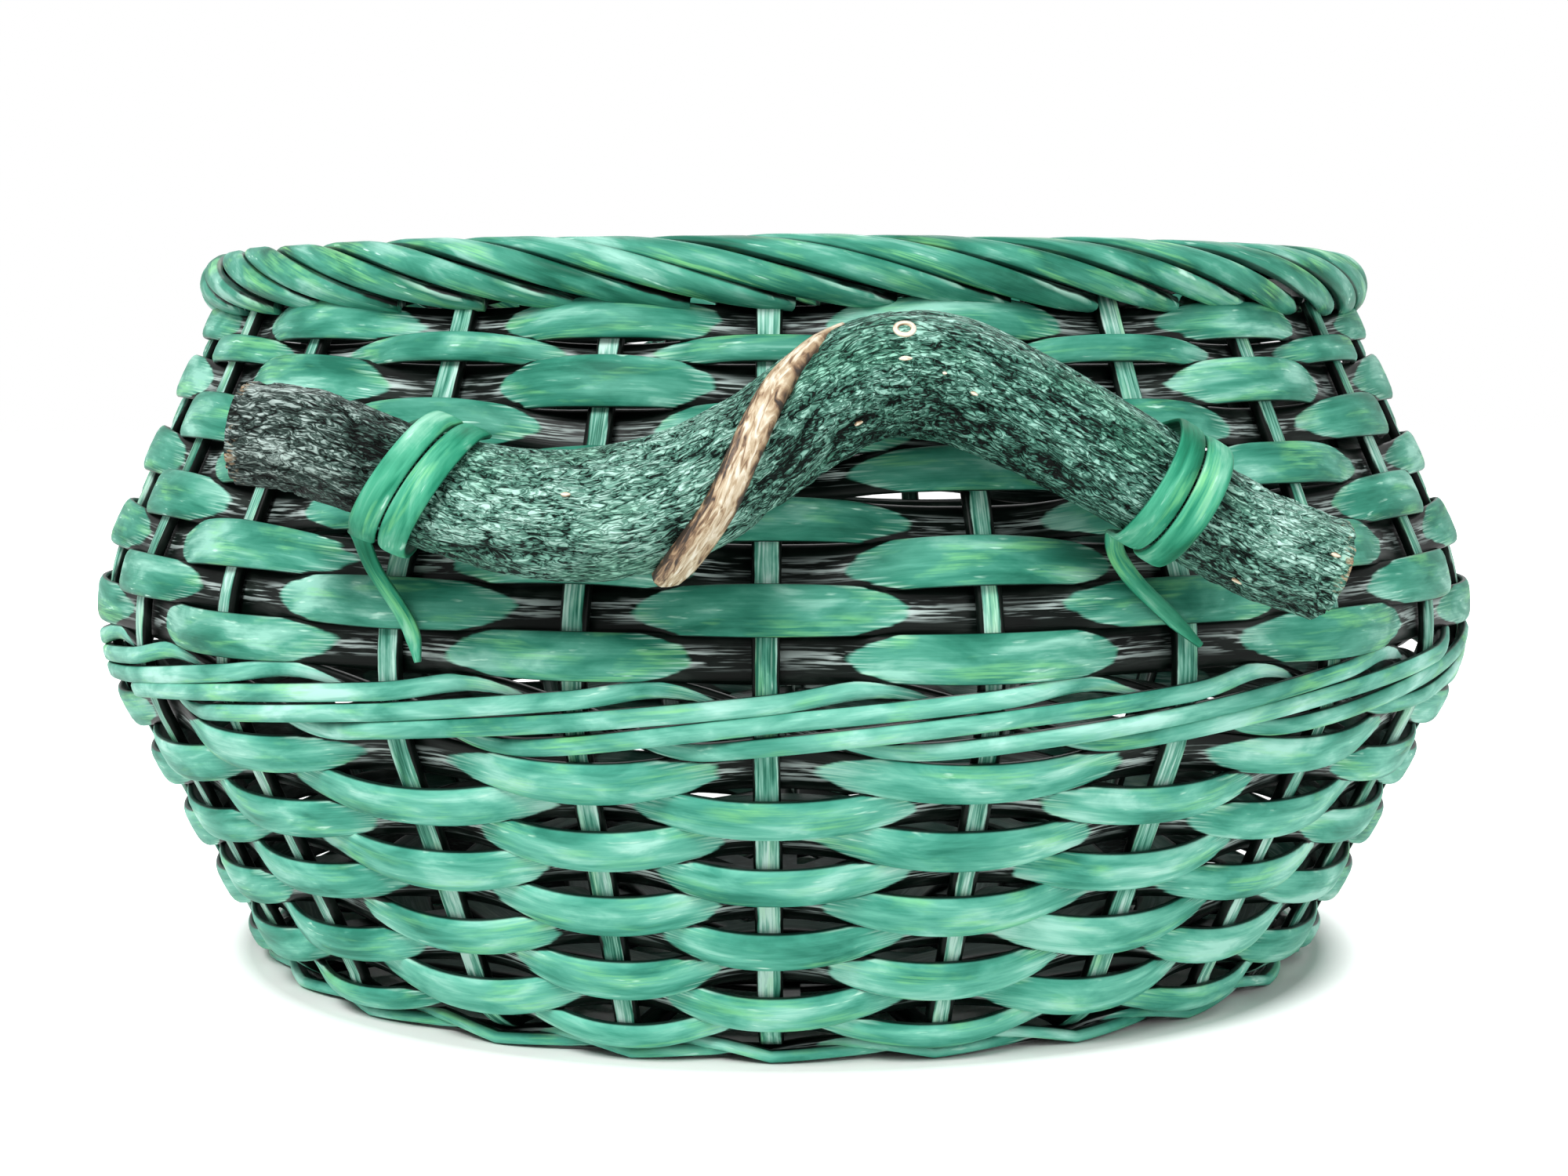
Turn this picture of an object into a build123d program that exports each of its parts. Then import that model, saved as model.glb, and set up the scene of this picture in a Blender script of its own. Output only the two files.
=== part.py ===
from build123d import *
from math import asin, atan2, cos, degrees, pi, radians, sin, tan
import os

# A round rattan basket with two branch handles, each tied on with split cane.
#
# Twenty-four flat stakes rise from a woven base, lean out to the belly and back in to the neck.
# Split canes weave round them one row at a time, a narrow waling runs round the waist, and the rim
# is rolled over a hoop. Each handle is a crooked length of branch that rocks in two cane lashings.
#
# Frame: +Z up, the foot stands on Z = 0, the front handle is on the -Y side. Millimetres.

# The wall, as the middle line of the stakes
foot_radius = 131.3  # where the stakes turn up out of the base
foot_level = 4.4  # height of the stakes where they run under the base
belly_corner_radius = 172.3  # where the lower and the upper slope of the wall would meet
belly_corner_height = 86.4
belly_bend = 46.0
neck_radius = 138.0
neck_height = 160.2

# Stakes
stake_count = 24
stake_width = 5.6
stake_thickness = 2.6
stake_tail = 34.0  # length of stake lying under the base
stake_bend_steps = 6  # short straight lengths that make the belly bend
# How far each stake has wandered from even spacing, in degrees, for half of the basket
stake_wander = (-1.2, -1.0, -1.2, -1.5, 0.0, 0.6, -0.5, 0.8, 0.5, 0.0, 1.8, 0.8)

# Canes that weave round the stakes
cane_thickness = 2.4
cane_crown = 0.72  # width of a cane's outer face as a share of its whole width
weave_gap = 0.3  # between a cane and the stake that it passes
row_gap = 0.6  # between one row and the next
bearing_margin = 1.0  # how far a cane lies flat past each side of a stake
splice_gap = 0.8  # between the two ends of a cane that goes all the way round

# Where each band of weaving starts, measured up the wall, and its number of rows
foot_weave_start = 5.8
lower_weave_start = 10.6
waist_start = 69.6
upper_weave_start = 85.8
neck_weave_start = 146.4
neck_weave_end = 156.2
lower_rows = 8
upper_rows = 7
neck_rows = 2
tie_gap = 2.3  # between the rows where a lashing passes through the wall
open_gap = 1.6  # between the two rows that the lashings go round
tie_below = 3  # a lashing passes under this row of the upper weave, counted up from 0
tie_above = 5

# Waist, worked with four narrow canes at once
waist_canes = 4  # each passes in front of three stakes and behind one
waist_dip = 0.45  # how far inside the stakes' middle line a waist cane changes sides

# Base
foot_row_outer = 132.6
foot_row_width = 9.0
foot_row_height = 2.8
base_stick_length = 248.0
base_stick_width = 7.0
base_stick_pitch = 7.3
sticks_each_way = 3
split_stick_thickness = 5.0
plain_stick_thickness = 2.4
slit_clearance = 0.15
cross_half = 14.0  # the sticks run side by side this far from the middle, then fan out
base_cane_thickness = 2.0
base_rows = 8
base_weave_inner = 34.0
base_weave_outer = 126.6
base_level = 11.1  # height of the middle of the base

# Rim
rim_radius = 137.6
rim_height = 164.8
rim_hoop_radius = 4.0
rim_hoop_sides = 6
rim_hoop_steps = 40
rim_cane_count = 40
rim_cane_inner_width = 3.4
rim_cane_outer_width = 5.9
rim_cane_thickness = 3.2
rim_cane_gap = 0.75
rim_roll_start = 230.0  # roll at a rim cane's inner end, in degrees, 0 facing out and 90 on top
rim_roll_end = -46.0
rim_cane_reach = 50.0  # degrees round the rim that one cane covers
rim_cane_steps = 10

# Handles
handle_axis_offset = 171.0  # from the middle of the basket to the line through both lashings
handle_axis_height = 123.0
handle_sides = 10
# Middle line of the branch from its left end: across, out from the middle, height and radius
branch_line = (
    (-103.5, 165.0, 133.5, 9.6),
    (-92.0, 167.0, 132.0, 10.4),
    (-78.0, 170.0, 127.5, 10.6),
    (-64.0, 172.0, 121.9, 11.4),
    (-48.0, 176.5, 118.8, 12.2),
    (-33.0, 179.0, 119.0, 12.8),
    (-19.0, 178.0, 122.6, 12.4),
    (-6.0, 173.0, 130.0, 11.8),
    (6.0, 167.5, 138.6, 11.8),
    (18.0, 164.5, 144.2, 12.6),
    (31.0, 164.5, 144.0, 12.4),
    (45.0, 167.0, 138.2, 11.6),
    (59.0, 169.6, 130.6, 11.0),
    (73.0, 171.0, 122.4, 10.6),
    (89.0, 168.5, 113.0, 10.8),
    (104.5, 165.0, 107.2, 10.8),
)

# Lashings
lashing_width = 5.2
lashing_thickness = 1.3
lashing_splay = 3.1  # half the distance between the two turns where they cross the branch
lashing_spread = 5.9  # distance of each turn from the middle of the stake, at the wall
lashing_step = 25.5  # degrees round the branch from one bend of the cane to the next
lashing_first_roll = 103.0  # where the cane meets the branch, 0 facing out and 90 on top
lashing_clearance = 0.4  # between the lashing and the weave that it lies on
lashing_inner_gap = 1.1
lashing_bevel = 1.5  # length that a lashing takes to turn down behind the weave
lashing_end = 7.5  # length of the first end, tucked inside the wall
tail_heights = (99.5, 98.5, 96.0, 92.0, 87.0)
tail_lifts = (14.0, 7.0, 1.8, 0.0, 0.0)  # how far the tail stands off the weave at those heights
# For each lashing: the stake it is tied at, where it crosses the branch, the room between it and
# the branch, which side of the stake the first turn goes back through the wall, and how far along
# the wall the tail has drifted
lashing_places = {
    "left": (-2, -69.0, 1.9, 1, (4.0, -0.5, -3.2, -2.2, 1.4)),
    "right": (2, 73.0, 1.5, -1, (-24.5, -20.0, -12.0, -4.0, 3.5)),
}

stake_step = 360 / stake_count
lower_lean = atan2(belly_corner_radius - foot_radius, belly_corner_height - foot_level)
upper_lean = atan2(neck_radius - belly_corner_radius, neck_height - belly_corner_height)
belly_tangent = belly_bend * tan((lower_lean - upper_lean) / 2)
belly_bend_start = belly_corner_height - belly_tangent * cos(lower_lean)
belly_bend_end = belly_corner_height + belly_tangent * cos(upper_lean)
belly_centre_radius = (
    belly_corner_radius - belly_tangent * sin(lower_lean) - belly_bend * cos(lower_lean)
)
belly_centre_height = belly_bend_start + belly_bend * sin(lower_lean)
weave_swing = (stake_thickness + cane_thickness) / 2 + weave_gap
weave_face = weave_swing + cane_thickness / 2  # from the stakes' middle line to the outer canes


def wall_point(height):
    """Radius of the stakes' middle line at a height, and the lean of the wall there in radians."""
    if height <= belly_bend_start:
        return foot_radius + (height - foot_level) * tan(lower_lean), lower_lean
    if height >= belly_bend_end:
        return neck_radius + (height - neck_height) * tan(upper_lean), upper_lean
    lean = asin((belly_centre_height - height) / belly_bend)
    return belly_centre_radius + belly_bend * cos(lean), lean


def stake_angle(number):
    """Angle of a stake round the basket in degrees, 0 at the front and growing towards +X."""
    return number * stake_step + stake_wander[number % len(stake_wander)]


def outward(angle):
    """Horizontal direction that points out of the basket at an angle round it."""
    return Vector(sin(radians(angle)), -cos(radians(angle)), 0)


def onward(angle):
    """Horizontal direction along the wall at an angle round the basket."""
    return Vector(cos(radians(angle)), sin(radians(angle)), 0)


def wall_plane(angle, height, offset):
    """Cross-section plane of a cane: X points out of the wall, Y up along it."""
    radius, lean = wall_point(height)
    facing = outward(angle) * cos(lean) - Vector(0, 0, sin(lean))
    middle = outward(angle) * radius + Vector(0, 0, height)
    return Plane(origin=middle + facing * offset, x_dir=facing, z_dir=-onward(angle))


def lofted_cane(label, planes, thickness, width, crown):
    """A split cane with straight lengths between its cross-sections, wider at the back."""
    inner = width / 2
    outer = width * crown / 2
    half = thickness / 2
    with BuildPart() as cane:
        for plane in planes:
            with BuildSketch(plane):
                Polygon((-half, -inner), (half, -outer), (half, outer), (-half, inner), align=None)
        loft(ruled=True, clean=False)
    cane.part.label = label
    return cane.part


def faceted(label, rings):
    """A solid with flat three-cornered faces between rings of points, for a cane that twists."""
    faces = [Face(Wire.make_polygon(ring, close=True)) for ring in (rings[0], rings[-1])]
    for near, far in zip(rings, rings[1:]):
        for corner in range(len(near)):
            after = (corner + 1) % len(near)
            faces.append(Face(Wire.make_polygon([near[corner], near[after], far[after]], close=True)))
            faces.append(Face(Wire.make_polygon([near[corner], far[after], far[corner]], close=True)))
    with BuildPart() as solid:
        add(Solid(Shell(faces)))
    solid.part.label = label
    return solid.part


def ring_of(plane, outline):
    """The points of an outline drawn on a plane."""
    return [plane.from_local_coords((across, up, 0)) for across, up in outline]


def woven_row(label, bottom, top, bottom_gap, top_gap, parity):
    """One cane woven round the wall, in front of every second stake.

    It lies flat across each stake and runs straight to the next, and its ends meet behind one.
    """
    height = (bottom + top) / 2 + (bottom_gap - top_gap) / 4
    radius, lean = wall_point(height)
    width = (top - bottom) / cos(lean) - (bottom_gap + top_gap) / 2
    flat = degrees((stake_width / 2 + bearing_margin) / radius)
    end = degrees(splice_gap / 2 / radius)
    splice = stake_count // 2 + parity
    planes = []
    for number in range(splice, splice + stake_count + 1):
        offset = weave_swing if (number + parity) % 2 else -weave_swing
        before = flat if number > splice else -end
        after = flat if number < splice + stake_count else -end
        for shift in (-before, after):
            planes.append(wall_plane(stake_angle(number) + shift, height, offset))
    return lofted_cane(label, planes, cane_thickness, width, cane_crown)


def woven_band(name, start, end, gaps, parity):
    """Rows of weaving that fill a band of the wall, each starting one stake further on."""
    pitch = (end - start) / (len(gaps) - 1)
    return [
        woven_row(
            f"{name}_row_{row + 1:02d}",
            start + pitch * row,
            start + pitch * (row + 1),
            gaps[row],
            gaps[row + 1],
            (parity + row) % 2,
        )
        for row in range(len(gaps) - 1)
    ]


def waist_cane(number, start, end):
    """One of the narrow canes of the waist.

    It climbs across the front of three stakes, then drops behind the next to start again below.
    """
    rise = (end - start) / waist_canes
    low = start + rise / 2
    flat = degrees((stake_width / 2 + bearing_margin) / wall_point(low)[0])
    end_gap = degrees(splice_gap / 2 / wall_point(low)[0])
    top_climb = waist_canes - 1
    planes = [wall_plane(stake_angle(number) + end_gap, low + rise * top_climb / 2, -weave_swing)]
    for behind in range(number, number + stake_count, waist_canes):
        angles = [stake_angle(stake) for stake in range(behind, behind + waist_canes + 1)]
        if behind > number:
            planes.append(wall_plane(angles[0] + flat, low + rise * top_climb / 2, -weave_swing))
        planes.append(wall_plane((angles[0] + angles[1]) / 2, low, -waist_dip))
        for stake in range(1, waist_canes):
            for shift in (-flat, flat):
                climb = stake - 0.5 + shift / stake_step
                planes.append(wall_plane(angles[stake] + shift, low + rise * climb, weave_swing))
        planes.append(
            wall_plane((angles[-2] + angles[-1]) / 2, low + rise * top_climb, -waist_dip)
        )
        if behind < number + stake_count - waist_canes:
            planes.append(wall_plane(angles[-1] - flat, low + rise * top_climb / 2, -weave_swing))
    planes.append(wall_plane(stake_angle(number) - end_gap, low + rise * top_climb / 2, -weave_swing))
    return lofted_cane(f"waist_cane_{number + 1}", planes, cane_thickness, rise - row_gap, cane_crown)


def tied_strip(label, points, widths):
    """A flat strip of lashing cane that follows a line of points.

    Each width direction is the way the strip's flat face runs across the line at that point.
    """
    rings = []
    for index, point in enumerate(points):
        before = points[max(index, 1)] - points[max(index, 1) - 1]
        after = points[min(index + 1, len(points) - 1)] - points[min(index, len(points) - 2)]
        along = (before.normalized() + after.normalized()).normalized()
        across = widths[index] - along * along.dot(widths[index])
        half = lashing_thickness / 2 / along.dot(after.normalized())
        wide = lashing_width / 2
        plane = Plane(origin=point, x_dir=across, z_dir=along)
        rings.append(ring_of(plane, ((-wide, -half), (wide, -half), (wide, half), (-wide, half))))
    return faceted(label, rings)


def strip_gap(points, widths):
    """Least gap between two lengths of a strip that are far apart along it, from its surface."""
    samples = []
    travelled = 0.0
    for index in range(len(points) - 1):
        run = points[index + 1] - points[index]
        steps = max(1, round(run.length / 1.5))
        for step in range(steps):
            share = step / steps
            across = (widths[index] * (1 - share) + widths[index + 1] * share).normalized()
            across = (across - run.normalized() * run.normalized().dot(across)).normalized()
            through = run.normalized().cross(across)
            for place in (-0.5, -0.25, 0, 0.25, 0.5):
                for face in (-0.5, 0.5):
                    spot = across * (lashing_width * place) + through * (lashing_thickness * face)
                    samples.append((travelled + run.length * share, points[index] + run * share + spot))
        travelled += run.length
    return min(
        (here - there).length
        for place, here in samples
        for other, there in samples
        if other - place > 3 * lashing_width
    )


def save(part):
    """Writes one piece as its own file."""
    export_step(part, f"parts/{part.label}.step")


os.makedirs("parts", exist_ok=True)

# Stakes: flat strips that run under the base, turn up and follow the wall into the rim
stake_line = [(foot_radius - stake_tail, foot_level), (foot_radius, foot_level)]
for step in range(stake_bend_steps + 1):
    bend_lean = lower_lean + (upper_lean - lower_lean) * step / stake_bend_steps
    stake_line.append(
        (
            belly_centre_radius + belly_bend * cos(bend_lean),
            belly_centre_height - belly_bend * sin(bend_lean),
        )
    )
stake_line.append((neck_radius, neck_height))
with BuildPart() as stake:
    with BuildSketch(Plane.XZ):
        with BuildLine():
            Polyline(*stake_line)
        trace(line_width=stake_thickness)
    extrude(amount=stake_width / 2, both=True)

quarter = stake_count // 4
for place, side in enumerate(("front", "right", "back", "left")):
    with BuildPart() as stakes:
        for number in range(place * quarter - quarter // 2, (place + 1) * quarter - quarter // 2):
            with Locations(Location((0, 0, 0), (0, 0, stake_angle(number) - 90))):
                add(stake.part)
    stakes.part.label = f"{side}_stakes"
    save(stakes.part)

# Foot: the lowest cane lies round the edge of the base, under the bends of the stakes
with BuildPart() as foot_row:
    with BuildSketch(Plane.XY):
        Circle(foot_row_outer)
        Circle(foot_row_outer - foot_row_width, mode=Mode.SUBTRACT)
        with Locations((0, foot_row_outer - foot_row_width / 2)):
            Rectangle(splice_gap, 2 * foot_row_width, mode=Mode.SUBTRACT)
    extrude(amount=foot_row_height)
foot_row.part.label = "foot_row"
save(foot_row.part)

# Woven rows, from the foot up to the neck
close_rows = [row_gap] * (lower_rows + 1)
tied_rows = [row_gap] * (upper_rows + 1)
tied_rows[tie_below] = tie_gap
tied_rows[tie_below + 1] = open_gap
tied_rows[tie_above] = tie_gap
rows = woven_band("foot_weave", foot_weave_start, lower_weave_start, [row_gap] * 2, 0)
rows += woven_band("lower", lower_weave_start, waist_start, close_rows, 1)
rows += woven_band("upper", upper_weave_start, neck_weave_start, tied_rows, 0)
rows += woven_band("neck", neck_weave_start, neck_weave_end, [row_gap] * (neck_rows + 1), 1)
rows += [waist_cane(number, waist_start, upper_weave_start) for number in range(waist_canes)]
for row in rows:
    save(row)

# Base sticks: three slit sticks with three plain ones pushed through them
split_half = base_stick_pitch * (sticks_each_way - 1) / 2 + base_stick_width / 2 + slit_clearance


def base_stick(place, thickness):
    """One stick along X, numbered from the middle one, fanned out past the cross."""
    side = place * base_stick_pitch
    fan = radians(30 * place)
    reach = base_stick_length / 2
    with BuildPart() as stick:
        with BuildSketch(Plane.XY.offset(base_level)):
            with BuildLine():
                Polyline(
                    (-reach * cos(fan), reach * sin(fan)),
                    (-cross_half, side),
                    (cross_half, side),
                    (reach * cos(fan), reach * sin(fan)),
                )
            trace(line_width=base_stick_width)
        extrude(amount=thickness / 2, both=True)
    return stick.part


with BuildPart() as split_sticks:
    for place in (-1, 0, 1):
        add(base_stick(place, split_stick_thickness))
    with Locations((0, 0, base_level)):
        Box(
            2 * split_half,
            4 * base_stick_pitch,
            plain_stick_thickness + 2 * slit_clearance,
            mode=Mode.SUBTRACT,
        )
split_sticks.part.label = "base_split_sticks"
save(split_sticks.part)

with BuildPart() as plain_sticks:
    with Locations(Location((0, 0, 0), (0, 0, 90))):
        for place in (-1, 0, 1):
            add(base_stick(place, plain_stick_thickness))
plain_sticks.part.label = "base_plain_sticks"
save(plain_sticks.part)

# Base weave: rounds of cane, over one stick and under the next
base_pitch = (base_weave_outer - base_weave_inner) / base_rows
spokes = 4 * sticks_each_way
for row in range(base_rows):
    radius = base_weave_inner + base_pitch * (row + 0.5)
    flat = degrees((base_stick_width / 2 + bearing_margin) / radius)
    wide = (base_pitch - row_gap) / 2
    half = base_cane_thickness / 2
    rings = []
    for spoke in range(spokes + 1):
        split = (spoke + 1) % (spokes // 2) < sticks_each_way
        thickness = split_stick_thickness if split else plain_stick_thickness
        swing = (thickness + base_cane_thickness) / 2 + weave_gap
        level = base_level + (swing if (spoke + row) % 2 else -swing)
        before = flat if spoke else degrees(-splice_gap / 2 / radius)
        after = flat if spoke < spokes else degrees(-splice_gap / 2 / radius)
        for shift in (-before, after):
            angle = 90 + 360 / spokes * spoke + shift
            middle = outward(angle) * radius + Vector(0, 0, level)
            plane = Plane(origin=middle, x_dir=outward(angle), z_dir=-onward(angle))
            rings.append(ring_of(plane, ((-wide, -half), (wide, -half), (wide, half), (-wide, half))))
    save(faceted(f"base_cane_{row + 1}", rings))

# Rim: a hoop on the ends of the stakes, and canes rolled over it from the inside to the outside
with BuildPart() as rim_hoop:
    for step in range(rim_hoop_steps + 1):
        nudge = degrees(splice_gap / 2 / rim_radius)
        angle = 180 + 360 / rim_hoop_steps * step
        angle += nudge if step == 0 else -nudge if step == rim_hoop_steps else 0
        with BuildSketch(
            Plane(
                origin=outward(angle) * rim_radius + Vector(0, 0, rim_height),
                x_dir=outward(angle),
                z_dir=-onward(angle),
            )
        ):
            RegularPolygon(rim_hoop_radius, rim_hoop_sides)
    loft(ruled=True, clean=False)
rim_hoop.part.label = "rim_hoop"
save(rim_hoop.part)


def rim_cane_point(share, depth):
    """Point on a rim cane, a share of the way along it and at a distance from the hoop's middle."""
    roll = radians(rim_roll_start + (rim_roll_end - rim_roll_start) * share)
    around = rim_cane_reach * (share - 1)
    radius = rim_radius + depth * cos(roll)
    return outward(around) * radius + Vector(0, 0, rim_height + depth * sin(roll))


rim_cane_inside = rim_hoop_radius + rim_cane_gap
rim_cane_middle = rim_cane_inside + rim_cane_thickness / 2
rim_cane_half = rim_cane_thickness / 2
rim_cane_outline = (
    (-rim_cane_half, -rim_cane_inner_width / 2),
    (rim_cane_half, -rim_cane_outer_width / 2),
    (rim_cane_half, rim_cane_outer_width / 2),
    (-rim_cane_half, rim_cane_inner_width / 2),
)
rim_cane_rings = []
for step in range(rim_cane_steps + 1):
    share = step / rim_cane_steps
    centre = rim_cane_point(share, rim_cane_middle)
    ahead = rim_cane_point(share + 0.01, rim_cane_middle)
    out = rim_cane_point(share, rim_cane_middle + 1) - centre
    plane = Plane(origin=centre, x_dir=out, z_dir=ahead - centre)
    rim_cane_rings.append(ring_of(plane, rim_cane_outline))
rim_cane = faceted("rim_cane", rim_cane_rings)

rim_quarter = rim_cane_count // 4
for place, side in enumerate(("front", "right", "back", "left")):
    with BuildPart() as rim_canes:
        for number in range(rim_quarter):
            turn = (place * rim_quarter + number - rim_quarter / 2 + 0.5) * 360 / rim_cane_count
            with Locations(Location((0, 0, 0), (0, 0, turn))):
                add(rim_cane)
    rim_canes.part.label = f"{side}_rim_canes"
    save(rim_canes.part)

# Handles: crooked lengths of branch, drawn at the front and turned round for the back
branch_points = [Vector(across, -out, height) for across, out, height, _ in branch_line]
branch_rings = []
for index, point in enumerate(branch_points):
    before = branch_points[max(index - 1, 0)]
    after = branch_points[min(index + 1, len(branch_points) - 1)]
    along = (after - before).normalized()
    out = Vector(0, -1, 0) - along * along.dot(Vector(0, -1, 0))
    corners = [2 * pi * corner / handle_sides for corner in range(handle_sides)]
    outline = [(branch_line[index][3] * cos(turn), branch_line[index][3] * sin(turn)) for turn in corners]
    branch_rings.append(ring_of(Plane(origin=point, x_dir=out, z_dir=along), outline))
branch = faceted("branch", branch_rings)

# Lashings: one strip of cane goes through the wall, twice over the branch, and hangs as a tail
pitch = (neck_weave_start - upper_weave_start) / upper_rows
low_tie = upper_weave_start + pitch * tie_below
high_tie = upper_weave_start + pitch * tie_above
face_offset = weave_face + lashing_clearance + lashing_thickness / 2
inner_offset = -(weave_face + lashing_inner_gap + lashing_thickness / 2)


def lashing_lines(stake, across, room, back, drifts):
    """Middle line and width directions of one lashing, from its tucked end to its tail."""
    angle = stake_angle(stake)
    index = next(i for i, point in enumerate(branch_points) if point.X > across)
    start = branch_points[index - 1]
    end = branch_points[index]
    share = (across - start.X) / (end.X - start.X)
    centre = start + (end - start) * share
    along = (end - start).normalized()
    front = (Vector(0, -1, 0) - along * along.dot(Vector(0, -1, 0))).normalized()
    top = front.cross(along)
    radius = branch_line[index - 1][3] * (1 - share) + branch_line[index][3] * share
    radius += room + lashing_thickness / 2

    def wall_spot(height, offset, drift):
        place = angle + degrees(drift / wall_point(height)[0])
        return wall_plane(place, height, offset).origin, onward(place)

    def turn(side, bends):
        middle = centre + along * (side * lashing_splay)
        rolls = [radians(lashing_first_roll - lashing_step * bend) for bend in range(bends)]
        return [(middle + (front * cos(roll) + top * sin(roll)) * radius, along) for roll in rolls]

    side = lashing_spread
    spots = [
        wall_spot(high_tie - lashing_end, inner_offset, side),
        wall_spot(high_tie - lashing_bevel, inner_offset, side),
        wall_spot(high_tie, inner_offset + lashing_bevel, side),
        wall_spot(high_tie, face_offset, side),
    ]
    spots += turn(1, 9)
    spots += [
        wall_spot(low_tie, face_offset, back * side),
        wall_spot(low_tie, inner_offset + lashing_bevel, back * side),
        wall_spot(low_tie + lashing_bevel, inner_offset, back * side),
        wall_spot(high_tie - lashing_bevel, inner_offset, -side),
        wall_spot(high_tie, inner_offset + lashing_bevel, -side),
        wall_spot(high_tie, face_offset, -side),
    ]
    spots += turn(-1, 8)
    for height, lift, drift in zip(tail_heights, tail_lifts, drifts):
        spots.append(wall_spot(height, face_offset + lift, drift))
    return [spot for spot, _ in spots], [width for _, width in spots]


lashings = []
for side, place in lashing_places.items():
    points, widths = lashing_lines(*place)
    length = sum((after - before).length for before, after in zip(points, points[1:]))
    gap = strip_gap(points, widths)
    print(f"{side} lashing: length {length:.0f} mm, least gap to itself {gap:.2f} mm")
    lashings.append((side, tied_strip(f"{side}_lashing", points, widths)))

for end, turn in (("front", 0), ("rear", 180)):
    with BuildPart() as handle:
        with Locations(Location((0, 0, 0), (0, 0, turn))):
            add(branch)
    handle.part.label = f"{end}_handle_branch"
    save(handle.part)
    for side, strip in lashings:
        with BuildPart() as lashing:
            with Locations(Location((0, 0, 0), (0, 0, turn))):
                add(strip)
        lashing.part.label = f"{end}_handle_{side}_lashing"
        save(lashing.part)
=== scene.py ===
# %% [markdown]
# # A painted rattan basket with branch handles
#
# The basket is woven of split cane round upright stakes, rolled over at the rim, and painted green
# with a dry brush over a black ground. Each handle is a crooked piece of branch with its bark on.
# Sizes are in metres.

# %% Load the frame
import math

import bpy
import numpy as np
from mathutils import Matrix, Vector, noise


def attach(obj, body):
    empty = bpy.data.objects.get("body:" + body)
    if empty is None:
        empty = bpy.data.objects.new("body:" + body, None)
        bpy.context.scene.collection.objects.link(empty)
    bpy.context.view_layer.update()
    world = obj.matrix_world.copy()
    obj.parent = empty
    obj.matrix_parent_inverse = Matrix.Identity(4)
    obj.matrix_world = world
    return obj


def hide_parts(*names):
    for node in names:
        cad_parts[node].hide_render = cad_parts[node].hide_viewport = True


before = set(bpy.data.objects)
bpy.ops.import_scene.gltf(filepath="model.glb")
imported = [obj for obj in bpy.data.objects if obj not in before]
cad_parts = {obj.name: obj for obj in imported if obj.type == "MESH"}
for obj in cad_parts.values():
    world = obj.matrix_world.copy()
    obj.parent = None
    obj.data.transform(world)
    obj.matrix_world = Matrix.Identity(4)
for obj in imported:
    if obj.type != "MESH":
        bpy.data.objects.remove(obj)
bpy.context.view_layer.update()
print("frame pieces:", len(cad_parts))

# %% [markdown]
# The wall is drawn once as a curve of radius against height. It could be read off the frame's
# pieces one by one, but every cane needs its slope as well, and one formula gives both. It is the
# same wall that the frame was made with: a straight slope out, a round belly, a slope in.

# %% The wall's shape
FOOT_RADIUS, FOOT_LEVEL = 0.1313, 0.0044
CORNER_RADIUS, CORNER_HEIGHT = 0.1723, 0.0864
NECK_RADIUS, NECK_HEIGHT = 0.138, 0.1602
BELLY_BEND = 0.046
UP, FORWARD = np.array([0, 0, 1.0]), np.array([0, -1.0, 0])
STAKES = 24
# How far each stake of one half stands off its even place, in degrees. The other half repeats it
WANDER = (-1.2, -1.0, -1.2, -1.5, 0.0, 0.6, -0.5, 0.8, 0.5, 0.0, 1.8, 0.8)
LOWER_LEAN = math.atan2(CORNER_RADIUS - FOOT_RADIUS, CORNER_HEIGHT - FOOT_LEVEL)
UPPER_LEAN = math.atan2(NECK_RADIUS - CORNER_RADIUS, NECK_HEIGHT - CORNER_HEIGHT)
TANGENT = BELLY_BEND * math.tan((LOWER_LEAN - UPPER_LEAN) / 2)
BEND_START = CORNER_HEIGHT - TANGENT * math.cos(LOWER_LEAN)
BEND_END = CORNER_HEIGHT + TANGENT * math.cos(UPPER_LEAN)
BEND_RADIUS = CORNER_RADIUS - TANGENT * math.sin(LOWER_LEAN) - BELLY_BEND * math.cos(LOWER_LEAN)
BEND_HEIGHT = BEND_START + BELLY_BEND * math.sin(LOWER_LEAN)


def wall(height):
    """Radius of the stakes' middle line and the wall's lean, for an array of heights."""
    height = np.asarray(height, float)
    lean = np.arcsin(np.clip((BEND_HEIGHT - height) / BELLY_BEND, -1, 1))
    radius = BEND_RADIUS + BELLY_BEND * np.cos(lean)
    low = height <= BEND_START
    high = height >= BEND_END
    radius = np.where(low, FOOT_RADIUS + (height - FOOT_LEVEL) * math.tan(LOWER_LEAN), radius)
    radius = np.where(high, NECK_RADIUS + (height - NECK_HEIGHT) * math.tan(UPPER_LEAN), radius)
    lean = np.where(low, LOWER_LEAN, np.where(high, UPPER_LEAN, lean))
    return radius, lean


def stake_angle(number):
    """Angle of a stake in radians, 0 at the front and growing towards +X."""
    return math.radians(number * 360 / STAKES + WANDER[number % len(WANDER)])


def outward(angle):
    """Level directions that point out of the basket."""
    angle = np.asarray(angle, float)
    return np.stack([np.sin(angle), -np.cos(angle), np.zeros_like(angle)], axis=-1)


print("belly radius:", round(BEND_RADIUS + BELLY_BEND, 4))

# %% [markdown]
# Every colour is written as a hex value, as a paint chart gives it, and one function turns it to
# the linear values that shaders work in. One more small function adds a node with its settings and
# links and gives back an output, so that a finish reads as a list of steps. Nodes could be placed
# by hand in the editor as well, but then the finish couldn't be read or repeated here.

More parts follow.
